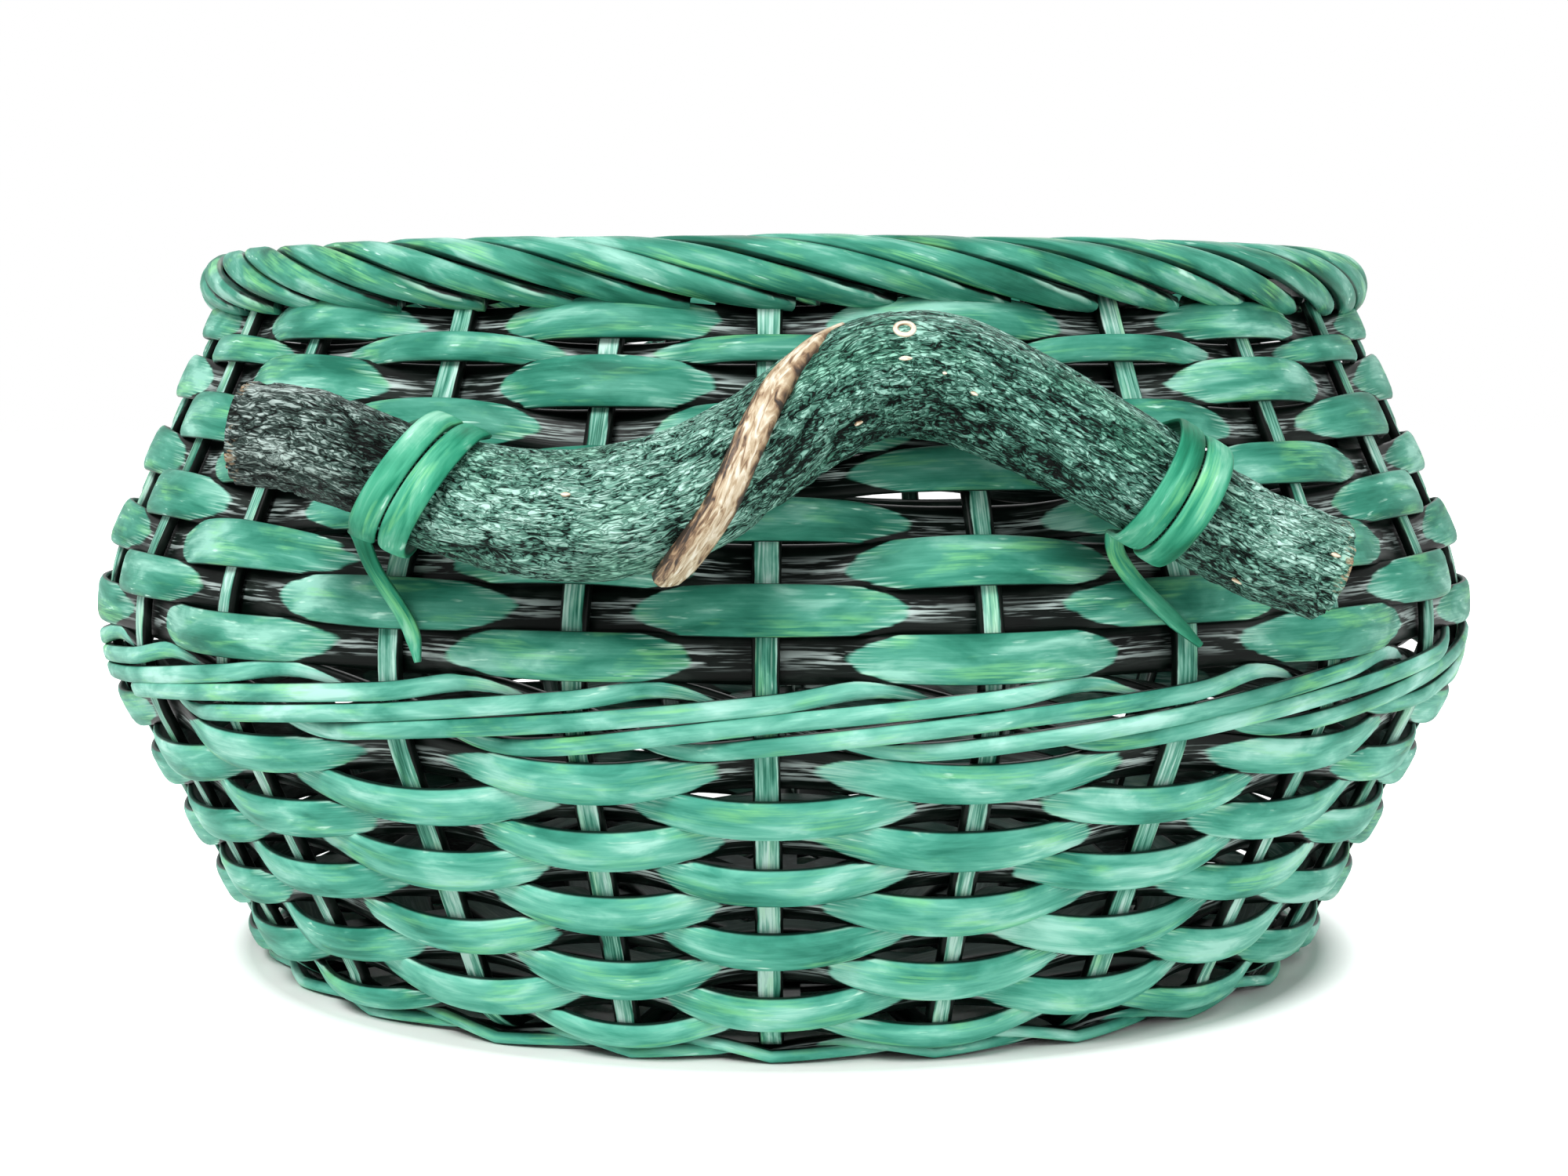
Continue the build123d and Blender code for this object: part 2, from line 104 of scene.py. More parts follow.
# %% Colours and nodes
def linear(chart):
    """A hex colour such as #5da98e as linear red, green, blue and alpha."""
    parts = [int(chart[place : place + 2], 16) / 255 for place in (1, 3, 5)]
    return [p / 12.92 if p <= 0.04045 else ((p + 0.055) / 1.055) ** 2.4 for p in parts] + [1.0]


def add(tree, kind, links, want=0, stops=(), **settings):
    """Adds one node with its settings and links, and gives back one output, or all for None."""
    node = tree.nodes.new("ShaderNode" + kind)
    for name, value in settings.items():
        setattr(node, name, value)
    for name, value in links.items():
        if isinstance(value, bpy.types.NodeSocket):
            tree.links.new(value, node.inputs[name])
        else:
            node.inputs[name].default_value = value
    for place, (position, chart) in enumerate(stops):
        elements = node.color_ramp.elements
        if place == 0:
            elements.remove(elements[1])
        element = elements.new(position) if place else elements[0]
        element.position = position
        element.color = linear(chart)
    return node.outputs if want is None else node.outputs[want]


def new_material(name):
    """An empty material and its node tree."""
    material = bpy.data.materials.new(name)
    material.use_nodes = True
    material.node_tree.nodes.clear()
    return material, material.node_tree


def carried(tree):
    """What each point of a mesh carries: its place in the grain, and three facts for the paint."""
    grain, facts = [
        add(tree, "Attribute", {}, "Vector", attribute_name=name) for name in ("grain", "paint")
    ]
    return grain, *add(tree, "SeparateXYZ", {0: facts}, None)


print("deep green in linear values:", [round(v, 3) for v in linear("#3f8f74")])

# %% [markdown]
# ## The painted cane
#
# The cane is split rattan, a glossy skin over long straight fibres. It was first painted
# black-green all over, and brushed with green once it was woven, so the green sits only where a
# cane stands out in front of a stake. It ends in a streaky point where the cane dives behind, and
# there the sheen of the dark skin is a painted highlight in silver. A picture of paint could be
# wrapped round each cane, but here each mesh carries two small sets of numbers, how far along and
# across the fibres a point lies and how far it stands out, and the paint is worked out from those.
#
# Each pattern is a noise stretched along the cane by its real size in millimetres. The fibres are
# 0.45 mm apart, and the bristles of the brush left marks 1.3 mm apart.

# %% Patterns in the paint
MM = 0.001
# Length and width on the cane in mm, step from cane to cane, and the noise's detail and distortion
PAINT_PATTERNS = {
    "fibres": (14.0, 0.45, 31.0, 3.0, 0.0),
    "bristles": (12.0, 1.3, 23.0, 3.0, 0.3),
    "patches": (17.0, 4.4, 17.0, 5.0, 0.5),
    "passes": (45.0, 16.0, 61.0, 1.0, 0.0),
    "flecks": (20.8333, 5.26316, 53.0, 4.0, 0.5),
    "specks": (7.0, 1.1, 41.0, 2.0, 0.0),
}


def paint_patterns(tree, grain):
    """The noises that the paint is worked out from, by name."""
    patterns = {}
    for name, (length, width, step, detail, bend) in PAINT_PATTERNS.items():
        scale = (1 / (length * MM), 1 / (width * MM), step)
        place = add(tree, "Mapping", {0: grain, "Scale": scale})
        links = {"Vector": place, "Scale": 1.0, "Detail": detail, "Distortion": bend}
        patterns[name] = add(tree, "TexNoise", links)
    both = {0: patterns["fibres"], 1: patterns["bristles"]}
    patterns["rubbed"] = add(tree, "Math", both, operation="ADD")
    return patterns


print("patterns in the paint:", ", ".join(PAINT_PATTERNS))

# %% [markdown]
# A brush touches only what stands out to it. So the first step is a reach, how far out a point
# lies, less at the cane's edges and frayed by the patterns. Paint took where the reach passes a
# limit. The green and the dark ground are made on their own and mixed by how much paint took.


# %% Where the brush reached
BRUSH_FADE = 0.06  # how much further out a point lies where the paint is full


def brush_marks(tree, patterns, facts, edge, cover):
    """How near a cane's edge a point lies, how far out it reaches, and its share of paint."""
    front, across, face = facts
    rim = add(tree, "Math", {0: across, 1: 2.0}, operation="POWER")
    reach = front
    for part, weight in (
        (rim, -0.40),
        (patterns["fibres"], 0.04),
        (patterns["bristles"], 0.05),
        (patterns["patches"], 0.30),
    ):
        reach = add(tree, "Math", {0: part, 1: weight, 2: reach}, operation="MULTIPLY_ADD")
    limits = {"Value": reach, "From Min": edge, "From Max": edge + BRUSH_FADE}
    brushed = add(tree, "MapRange", limits, interpolation_type="SMOOTHSTEP")
    skin = {"Value": face, "From Min": 0.06, "From Max": 0.34, "To Min": 0.05}
    side = add(tree, "Math", {0: add(tree, "MapRange", skin), 1: cover}, operation="MAXIMUM")
    return rim, reach, add(tree, "Math", {0: brushed, 1: side}, operation="MULTIPLY")


print("fade of the brush's edge:", BRUSH_FADE)


# %% The green paint
GREEN_PLACES = (0.36, 0.48, 0.59, 0.72)
# The mint is partly pale, thick paint and partly a painted highlight
YELLOW_GREEN, MINT_AND_HIGHLIGHT = "#8fe08f", "#c8f6e4"


def green_paint(tree, patterns, rim, reach, greens, flecks, edge, streak):
    """Greens streaked by the fibres, with yellow-green flecks, and a mint edge and specks that are
    partly thicker paint and partly a painted highlight.
    """
    tone = -0.09 - streak
    for part, weight in (
        (patterns["rubbed"], streak),
        # Painted shade: the green is darker towards the cane's edges
        (rim, -0.06),
        (patterns["passes"], 0.60),
        (patterns["patches"], 0.70),
    ):
        tone = add(tree, "Math", {0: part, 1: weight, 2: tone}, operation="MULTIPLY_ADD")
    green = add(tree, "ValToRGB", {0: tone}, stops=zip(GREEN_PLACES, greens))
    # Each dab shows where two things meet: what it needs, from where to where, and how strongly
    dabs = []
    for part, low, high, most in (
        (patterns["flecks"], 0.52, 0.66, flecks),
        (patterns["rubbed"], 0.86, 1.12, 1.0),
        (patterns["fibres"], 0.50, 0.62, 0.6),
        (reach, edge + 0.26, edge + 0.05, 1.0),
        (patterns["specks"], 0.63, 0.72, 1.0),
        (patterns["patches"], 0.50, 0.62, 1.0),
    ):
        limits = {"Value": part, "From Min": low, "From Max": high, "To Max": most}
        dabs.append(add(tree, "MapRange", limits))
    fleck, thick, speck = [
        add(tree, "Math", {0: one, 1: other}, operation="MULTIPLY")
        for one, other in zip(dabs[::2], dabs[1::2])
    ]
    # Mint at the paint's edge and in specks: partly thicker paint, partly a painted highlight
    pale_and_highlight = add(tree, "Math", {0: thick, 1: speck}, operation="MAXIMUM")
    for share, chart in ((fleck, YELLOW_GREEN), (pale_and_highlight, MINT_AND_HIGHLIGHT)):
        green = add(tree, "Mix", {0: share, 6: green, 7: linear(chart)}, 2, data_type="RGBA")
    return green


print("places of the greens:", GREEN_PLACES)


# %% The dark ground
GROUND = ((0.36, "#010503"), (0.54, "#07110d"), (0.74, "#2c3430"))
# A painted highlight: this silver stands for the sheen of the dark skin
SHEEN_HIGHLIGHT = "#c4d6d2"


def dark_ground_and_highlight(tree, patterns, rim, reach, face, edge, cover):
    """Black-green skin with a silver painted highlight for its sheen, along the cane's middle and
    most beside the paint.
    """
    # Painted highlight: strongest on the cane's middle, in the fibre streaks, beside the paint and
    # on the outer face
    sheen_highlight = 1.0
    for limits in (
        {"Value": rim, "From Min": 0.30, "From Max": 0.0},
        {"Value": patterns["rubbed"], "From Min": 0.98, "From Max": 1.14},
        {"Value": reach, "From Min": edge - 0.30, "From Max": edge, "To Min": 0.34},
        {"Value": face, "From Min": -0.5, "From Max": -0.1, "To Min": cover},
    ):
        share = add(tree, "MapRange", limits)
        sheen_highlight = add(tree, "Math", {0: share, 1: sheen_highlight}, operation="MULTIPLY")
    ground = add(tree, "ValToRGB", {0: patterns["patches"]}, stops=GROUND)
    return add(tree, "Mix", {0: sheen_highlight, 6: ground, 7: linear(SHEEN_HIGHLIGHT)}, 2, data_type="RGBA")


print("places of the ground:", [place for place, _ in GROUND])

# %% Painted rattan
RATTAN_IOR = 1.5
PAINT_GLOSS = 0.10  # specular level: the paint dried nearly matt


def painted_rattan(name, greens, flecks, edge, cover, streak):
    """Dry-brushed paint over dark cane.

    greens runs from the deepest to the palest, flecks is how strong the yellow-green is, edge how
    far out a point must lie to take paint, cover how much of the inner side is painted, and streak
    how strongly the fibres show in the green.
    """
    material, tree = new_material(name)
    grain, *facts = carried(tree)
    patterns = paint_patterns(tree, grain)
    rim, reach, brushed = brush_marks(tree, patterns, facts, edge, cover)
    green = green_paint(tree, patterns, rim, reach, greens, flecks, edge, streak)
    ground = dark_ground_and_highlight(tree, patterns, rim, reach, facts[2], edge, cover)
    colour = add(tree, "Mix", {0: brushed, 6: ground, 7: green}, 2, data_type="RGBA")
    rough = add(tree, "MapRange", {"Value": brushed, "To Min": 0.36, "To Max": 0.46})
    layers = {0: brushed, 1: 0.35, 2: patterns["fibres"]}
    height = add(tree, "Math", layers, operation="MULTIPLY_ADD")
    relief = add(tree, "Bump", {"Height": height, "Strength": 0.40, "Distance": 0.14 * MM})
    looks = {"Base Color": colour, "Roughness": rough, "Normal": relief, "IOR": RATTAN_IOR}
    shader = add(tree, "BsdfPrincipled", {**looks, "Specular IOR Level": PAINT_GLOSS})
    add(tree, "OutputMaterial", {0: shader}, None)
    return material


# Greens from deep to pale, flecks, edge, cover and streak
PAINTS = {
    "upper": (("#1f6a56", "#388872", "#54a28c", "#98d6c3"), 0.48, 0.42, 0.05, 0.10),
    "lower": (("#2f826d", "#4ea690", "#72c6af", "#b2eedd"), 0.48, 0.36, 0.05, 0.10),
    "rim": (("#1c604c", "#35846e", "#4fa089", "#9ad5c4"), 0.65, 0.28, 0.25, 0.10),
    "waist": (("#31826e", "#56a792", "#7ecab5", "#bcf2e4"), 0.60, 0.36, 0.05, 0.10),
    "stake": (("#266a56", "#4e9681", "#7fbdaa", "#c6eadf"), 0.45, 0.62, 0.05, 0.55),
    "lashing": (("#14664a", "#2b8c6c", "#4fae8c", "#a2e2c6"), 0.55, 0.24, 0.6, 0.10),
}
paints = {part: painted_rattan("painted_rattan_" + part, *facts) for part, facts in PAINTS.items()}
print("paint finishes:", len(paints))

# %% [markdown]
# ## One strand of cane
#
# Every cane here is the same thing, a length with a domed skin side and a flatter split side, bent
# along a different line. A curve with a bevel could draw it, but a curve can't change its width in
# one direction only, and it can't carry the numbers that the paint needs. So one function carries
# a small outline along a line of points, and one more joins such strands into a piece.

# %% Strands
SIDES = 16
turns = np.linspace(0, 2 * math.pi, SIDES, endpoint=False)
# Outlines across a cane, from -1 to 1. A power under 1 squares a circle off, one over 1 draws it in


def squared(values, power):
    """Values from -1 to 1 raised to a power, with their signs kept."""
    return np.sign(values) * np.abs(values) ** power


sine, cosine = np.sin(turns), np.cos(turns)
skin = np.where(sine > 0, squared(sine, 1.15), squared(sine, 0.45))
DOMED = np.stack([squared(cosine, 0.55), skin], axis=-1)
FLAT = np.stack([squared(cosine, 0.35), squared(sine, 0.5)], axis=-1)


def unit(vectors):
    """Vectors of length one."""
    return vectors / np.maximum(np.linalg.norm(vectors, axis=-1, keepdims=True), 1e-9)


def strand(path, out, width, thick, front, seed, outline=DOMED):
    """One length of cane along a path, its skin side facing out, with what its paint needs."""
    path = np.asarray(path, float)
    count = len(path)
    width = np.broadcast_to(width, count)
    thick = np.broadcast_to(thick, count)
    front = np.broadcast_to(front, count)
    onward = unit(np.gradient(path, axis=0))
    up = unit(np.cross(out, onward))
    out = np.cross(onward, up)
    across = outline[:, 0][None, :] * width[:, None] / 2
    lift = outline[:, 1][None, :] * thick[:, None] / 2
    points = (
        path[:, None] + up[:, None] * across[..., None] + out[:, None] * lift[..., None]
    )
    steps = np.linalg.norm(np.diff(path, axis=0), axis=1)
    travelled = np.concatenate([[0.0], np.cumsum(steps)])
    whole = np.ones((count, SIDES))
    grain = np.stack([travelled[:, None] * whole, across + lift * 0.7, whole * seed], axis=-1)
    paint = np.stack(
        [front[:, None] * whole, outline[:, 0] * whole, outline[:, 1] * whole], axis=-1
    )
    return points, grain, paint


def build(name, strands, material, stands_for, body="basket"):
    """Joins strands into one smooth mesh that rides on a body and stands for frame pieces."""
    corners, faces, grain, paint = [], [], [], []
    first = 0
    for points, strand_grain, strand_paint in strands:
        rings, sides = points.shape[:2]
        index = first + np.arange(rings * sides).reshape(rings, sides)
        near, far = index[:-1], index[1:]
        quads = np.stack(
            [near, far, np.roll(far, -1, axis=1), np.roll(near, -1, axis=1)], axis=-1
        )
        faces += [tuple(int(v) for v in face) for face in quads.reshape(-1, 4)[:, ::-1]]
        faces.append(tuple(int(v) for v in index[0][::-1]))
        faces.append(tuple(int(v) for v in index[-1]))
        corners.append(points.reshape(-1, 3))
        grain.append(strand_grain.reshape(-1, 3))
        paint.append(strand_paint.reshape(-1, 3))
        first += rings * sides
    mesh = bpy.data.meshes.new(name)
    mesh.from_pydata(np.concatenate(corners).tolist(), [], faces)
    for label, values in (("grain", grain), ("paint", paint)):
        layer = mesh.attributes.new(label, "FLOAT_VECTOR", "POINT")
        layer.data.foreach_set("vector", np.concatenate(values).astype(np.float32).ravel())
    mesh.shade_smooth()
    piece = bpy.data.objects.new(name, mesh)
    bpy.context.scene.collection.objects.link(piece)
    mesh.materials.append(material)
    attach(piece, body)
    if stands_for:
        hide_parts(*stands_for)
    return piece


print("points round a strand:", SIDES)

# %% [markdown]
# ## The woven rows
#
# Each row goes once round the wall, out past one stake and in behind the next. A cosine gives that
# wave, and it is how a springy cane really bends between two holds. The cane is widest where it
# stands in front, so its ends slip under the rows above and below and look like pointed leaves.
# No two passes are alike on a hand-made basket, so each has its own width and its own small rise.

# %% Lines along the wall
END_GAP = 0.4 * MM  # a cane's two ends each stop this far from their stake's middle


def along_stakes(first, last, steps):
    """Places counted in stakes, and their angles, from one stake to a later one."""
    count = (last - first) * steps + 1
    places = np.linspace(first, last, count)
    whole = np.arange(first, last + 1)
    return places, np.interp(places, whole, [stake_angle(n) for n in whole])


def eased(places, values, first):
    """Values given at each stake, blended smoothly in between."""
    below = np.clip(np.floor(places).astype(int) - first, 0, len(values) - 2)
    share = np.clip(places - first - below, 0, 1)
    share = (1 - np.cos(np.pi * share)) / 2
    values = np.asarray(values)
    return values[below] * (1 - share) + values[below + 1] * share


def on_wall(angle, height, offset):
    """Points on the wall, and the directions that face out of it."""
    radius, lean = wall(height)
    level = outward(angle)
    upright = np.zeros_like(level)
    upright[..., 2] = 1.0
    facing = level * np.cos(lean)[..., None] - upright * np.sin(lean)[..., None]
    points = level * radius[..., None] + upright * np.asarray(height)[..., None]
    return points + facing * np.asarray(offset)[..., None], facing


def open_ends(angle, radius):
    """Keeps the two ends of a cane that goes once round a hair apart."""
    angle[0] += END_GAP / radius
    angle[-1] -= END_GAP / radius


print("from stake to stake:", 360 / STAKES, "degrees")

# %% [markdown]
# The rows are pushed down snug on each other, so little light comes through. They stand apart only
# where a lashing passes between them, and in four slots where two rows have slipped. The slots are
# in front and where the same line of sight leaves the far wall, so that one can see through.

# %% Gaps between rows
ROW_GAP = 0.6 * MM
TIED_STAKES = np.array((2, 10, 14, 22))


def near_ties(places):
    """1 where a lashing passes through the wall, 0 from a stake away."""
    apart = (places[:, None] - TIED_STAKES + STAKES / 2) % STAKES - STAKES / 2
    return np.clip(2 - 2 * np.abs(apart).min(axis=1), 0, 1)

# Height, first and last stake, and width
OPEN_SLOTS = (
    (0.1204, -1.1, 1.3, 2.6 * MM),
    (0.1031, 10.6, 13.2, 2.4 * MM),
    (0.1291, 2.9, 5.2, 2.6 * MM),
    (0.1204, 7.2, 9.0, 2.4 * MM),
)


def gap_between(height, widest, places):
    """The gap between two rows, place by place: wide only at the lashings and in the slots."""
    snug = min(widest, ROW_GAP)
    gap = snug + (widest - snug) * near_ties(places)
    for slot_height, start, end, size in OPEN_SLOTS:
        if abs(height - slot_height) < 1 * MM:
            apart = (places - (start + end) / 2 + STAKES / 2) % STAKES - STAKES / 2
            share = np.clip(end - start - 2 * np.abs(apart) + 1, 0, 1)
            gap = np.maximum(gap, snug + (size - snug) * share)
    return gap

print("slots:", len(OPEN_SLOTS))

# %% Woven rows
SWING = 2.8 * MM
CANE_THICK = 2.3 * MM
SPAN_STEPS = 14
SNUG_ROOM = 0.8 * MM  # rows this much further apart than ROW_GAP are no longer snug
LOWEST_SAG = 0.9 * MM  # how far a pass hangs below its row, low down on the wall
SAG_TOP, SAG_REACH = 0.115, 0.10
# How much one pass may differ in width, in rise as a share of its row, and in paint
WIDTH_CHANCE, RISE_CHANCE, PAINT_CHANCE = 0.08, 0.04, 0.10


def woven_row(bottom, top, bottom_gap, top_gap, parity, seed):
    """The strand of one row, in front of every second stake."""
    chance = np.random.default_rng(seed)
    first = STAKES // 2 + parity
    places, angle = along_stakes(first, first + STAKES, SPAN_STEPS)
    low_gap = gap_between(bottom, bottom_gap, places)
    high_gap = gap_between(top, top_gap, places)
    middle = (bottom + top) / 2 + (low_gap - high_gap) / 4
    radius, lean = wall(middle)
    pitch = (top - bottom) / np.cos(lean) - (low_gap + high_gap) / 2 + ROW_GAP
    packed = 1 - np.clip(((low_gap + high_gap) / 2 - ROW_GAP) / SNUG_ROOM, 0, 1)
    open_ends(angle, radius[0])
    wave = -np.cos(np.pi * (places - first))
    front = (wave + 1) / 2
    in_front, between, behind = 1.16, 1.03 + 0.05 * packed, 1.12 + 0.12 * packed
    size = between + np.where(wave > 0, in_front - between, between - behind) * wave
    wider, higher, bolder = [
        eased(places, chance.uniform(-most, most, STAKES + 1) * scale, first)
        for most, scale in ((WIDTH_CHANCE, 1), (RISE_CHANCE, top - bottom), (PAINT_CHANCE, 1))
    ]
    size = size * (1 + wider * front)
    sag = LOWEST_SAG * np.clip((SAG_TOP - middle) / SAG_REACH, 0.0, 1.0)
    height = middle + higher - sag * wave
    offset = SWING * (0.65 * wave + 0.35 * np.sin(np.pi / 2 * wave))
    path, facing = on_wall(angle, height, offset)
    thick = CANE_THICK * np.where(wave > 0, 1.0, 1 + 0.12 * wave)
    return strand(path, facing, pitch * size, thick, front + bolder, seed)


def woven_band(name, start, end, gaps, parity, finish):
    """A band of rows, each as its own piece."""
    pitch = (end - start) / (len(gaps) - 1)
    for row in range(len(gaps) - 1):
        node = f"{name}_row_{row + 1:02d}"
        seed = 11 * len(made_rows) + 3
        low = start + pitch * row
        side = (parity + row) % 2
        cane = woven_row(low, low + pitch, gaps[row], gaps[row + 1], side, seed)
        made_rows.append(build(node + "_cane", [cane], finish, [node]))


# Heights where the bands of the wall start, from the foot up, and where the last one ends
FOOT_WEAVE, LOWER_WALL, WAIST = 0.0058, 0.0106, 0.0696
UPPER_WALL, NECK, NECK_TOP = 0.0858, 0.1464, 0.1562
UPPER_ROWS = 7
# Gaps from the bottom of a band to its top: wide for the lashings, and none where the neck's last
# row goes on up behind the rim
UPPER_GAPS = [ROW_GAP] * 3 + [2.3 * MM, 1.6 * MM, 2.3 * MM] + [ROW_GAP] * 2
NECK_GAPS = [ROW_GAP, ROW_GAP, -4.0 * MM]
made_rows = []
woven_band("foot_weave", FOOT_WEAVE, LOWER_WALL, [ROW_GAP] * 2, 0, paints["lower"])
woven_band("lower", LOWER_WALL, WAIST, [ROW_GAP] * 9, 1, paints["lower"])
woven_band("upper", UPPER_WALL, NECK, UPPER_GAPS, 0, paints["upper"])
woven_band("neck", NECK, NECK_TOP, NECK_GAPS, 1, paints["upper"])
print("woven rows:", len(made_rows))

# %% [markdown]
# ## The waist
#
# Four narrow canes are worked together round the widest part. Each climbs across the front of three
# stakes, drops in behind the fourth and starts again below the others, which gives the slanting
# strands. Its line is given at the stakes and half way between them, and a smooth curve is drawn
# through those points, as the cane itself would bend.


# %% Smooth lines and waist canes
def smooth(points, steps):
    """A Catmull-Rom curve through points, with some steps from each to the next."""
    points = np.asarray(points, float)
    ends = np.concatenate([[2 * points[0] - points[1]], points, [2 * points[-1] - points[-2]]])
    share = np.linspace(0, 1, steps, endpoint=False)[:, None]
    runs = []
    for place in range(len(points) - 1):
        a, b, c, d = ends[place : place + 4]
        runs.append(
            b
            + share * (c - a) / 2
            + share**2 * (a - 2.5 * b + 2 * c - d / 2)
            + share**3 * (1.5 * b - 1.5 * c + (d - a) / 2)
        )
    return np.concatenate(runs + [points[-1:]])


SKIM = -0.45 * MM  # how far in a waist cane lies half way from a stake behind to one in front


def waist_strand(number):
    """One waist cane, as places, heights and offsets at its holds, then smoothed."""
    chance = np.random.default_rng(900 + number)
    rise = (UPPER_WALL - WAIST) / 4
    low = WAIST + rise / 2
    stations = []
    for behind in range(number, number + STAKES, 4):
        nudge = chance.uniform(-0.5, 0.5, 3) * MM
        stations.append((behind, low + 1.5 * rise, -SWING))
        stations.append((behind + 0.5, low, SKIM))
        for stake in (1, 2, 3):
            height = low + rise * (stake - 0.5) + nudge[stake - 1]
            stations.append((behind + stake, height, SWING))
        stations.append((behind + 3.5, low + 3 * rise, SKIM))
    stations.append((number + STAKES, low + 1.5 * rise, -SWING))
    line = smooth(stations, 8)
    whole = np.arange(number, number + STAKES + 1)
    angle = np.interp(line[:, 0], whole, [stake_angle(n) for n in whole])
    open_ends(angle, float(wall(low)[0]))
    offset = np.clip(line[:, 2], -SWING, SWING)
    path, facing = on_wall(angle, line[:, 1], offset)
    front = (offset / SWING + 1) / 2
    width = rise * (0.92 + 0.06 * front)
    return strand(path, facing, width, 2.2 * MM, front, 950 + number)


for number in range(4):
    node = f"waist_cane_{number + 1}"
    build(node + "_strand", [waist_strand(number)], paints["waist"], [node])
print("waist canes: 4")

# %% [markdown]
# ## Stakes, foot and base
#
# The stakes are flat strips with their long fibres running up the wall. They start under the base,
# turn up round its edge and end inside the rim. The basket stands on two canes twined round the
# foot, and the base is woven in rounds over a cross of split sticks.

# %% Stakes
STAKE_WIDTH = 5.6 * MM
STAKE_THICK = 2.6 * MM * 0.98  # a hair thinner than the frame's, to stay inside it
STAKE_TAIL, STAKE_BEND = 34 * MM, 4 * MM
STAKE_LOW = 0.0085


def stake_strand(number):
    """One stake, from its tail under the base to its end inside the rim."""
    heights = np.linspace(STAKE_LOW, NECK_HEIGHT, 60)
    radius, _ = wall(heights)
    tail = np.linspace(FOOT_RADIUS - STAKE_TAIL, FOOT_RADIUS - STAKE_BEND, 8)
    flat = np.stack([tail, np.full(8, FOOT_LEVEL)], axis=-1)
    line = np.concatenate([flat, np.stack([radius, heights], axis=-1)])
    bend = smooth(line[5:11], 4)
    line = np.concatenate([line[:5], bend, line[11:]])
    along = unit(np.gradient(line, axis=0))
    level = outward(stake_angle(number))
    path = line[:, :1] * level + line[:, 1:] * UP
    facing = along[:, 1:] * level - along[:, :1] * UP
    chance = np.random.default_rng(300 + number)
    width = STAKE_WIDTH * (1 + 0.05 * np.sin(line[:, 1] * 90 + chance.uniform(0, 6)))
    front = 0.70 + chance.uniform(-0.16, 0.16)
    return strand(path, facing, width, STAKE_THICK, front, 400 + number, FLAT)


def quarters(count):
    """The four sides with the numbers of the canes on each, and number 0 in front."""
    share = count // 4
    for place, side in enumerate(("front", "right", "back", "left")):
        first = place * share - share // 2
        yield side, range(first, first + share)


for side, numbers in quarters(STAKES):
    strips = [stake_strand(number) for number in numbers]
    build(f"{side}_stake_strips", strips, paints["stake"], [f"{side}_stakes"])
print("stakes:", STAKES)


# %% The foot's pair of canes
FOOT_ROW_RADIUS = 0.1281


def foot_strand(first):
    """One of the pair twined round the foot: out under one stake, up and in behind the next."""
    places, angle = along_stakes(first, first + STAKES, 12)
    open_ends(angle, FOOT_ROW_RADIUS)
    wave = -np.cos(np.pi * (places - first))
    climb = np.sin(np.pi * (places - first))
    path = outward(angle) * (FOOT_ROW_RADIUS + 2.6 * MM * wave)[:, None]
    path[:, 2] = (1.4 + 1.5 * np.abs(climb) + 0.9 * climb) * MM
    return strand(path, outward(angle), 2.5 * MM, 3.3 * MM, (wave + 1) / 2, 77 + first)


pair = [foot_strand(12), foot_strand(13)]
build("foot_row_pair", pair, paints["lower"], ["foot_row"])
print("canes round the foot:", len(pair))

# %% Base
BASE_LEVEL, BASE_HOLE, BASE_EDGE, BASE_ROUNDS = 0.0111, 0.034, 0.1266, 8
BASE_PITCH = (BASE_EDGE - BASE_HOLE) / BASE_ROUNDS
SPLIT_SWING, PLAIN_SWING = 3.8 * MM, 2.5 * MM  # past a split stick and past a plain one
for row in range(BASE_ROUNDS):
    radius = BASE_HOLE + BASE_PITCH * (row + 0.5)
    places = np.linspace(0, 12, 12 * 12 + 1)
    angle = math.pi / 2 + places * math.pi / 6
    angle[-1] -= 1.5 * MM / radius
    split = (np.arange(13) + 1) % 6 < 3
    swing = eased(places, np.where(split, SPLIT_SWING, PLAIN_SWING), 0)
    wave = -np.cos(np.pi * places) * (1 if row % 2 == 0 else -1)
    path = outward(angle) * radius
    path[:, 2] = BASE_LEVEL + swing * wave
    width = BASE_PITCH * (1 + 0.07 * np.abs(wave))
    ring = strand(path, np.zeros_like(path) - UP, width, 2.0 * MM, 0.45, 500 + row)
    node = f"base_cane_{row + 1}"
    build(node + "_round", [ring], paints["lower"], [node])
print("base rounds:", BASE_ROUNDS)

# %% [markdown]
# ## The rim
#
# The ends of the wall are hidden by canes rolled over a hoop, from the inside over the top and down
# the outside, at such a low slant that they look like a thick twisted rope. Each is a strand along
# a line that turns round the hoop while it goes along the rim.

# %% Rim
RIM_RADIUS, RIM_HEIGHT = 0.1376, 0.1648
RIM_DEPTH = 6.3 * MM
RIM_START, RIM_END = math.radians(246), math.radians(-72)
RIM_REACH, RIM_SHIFT = math.radians(51), math.radians(5)
RIM_CANES = 40


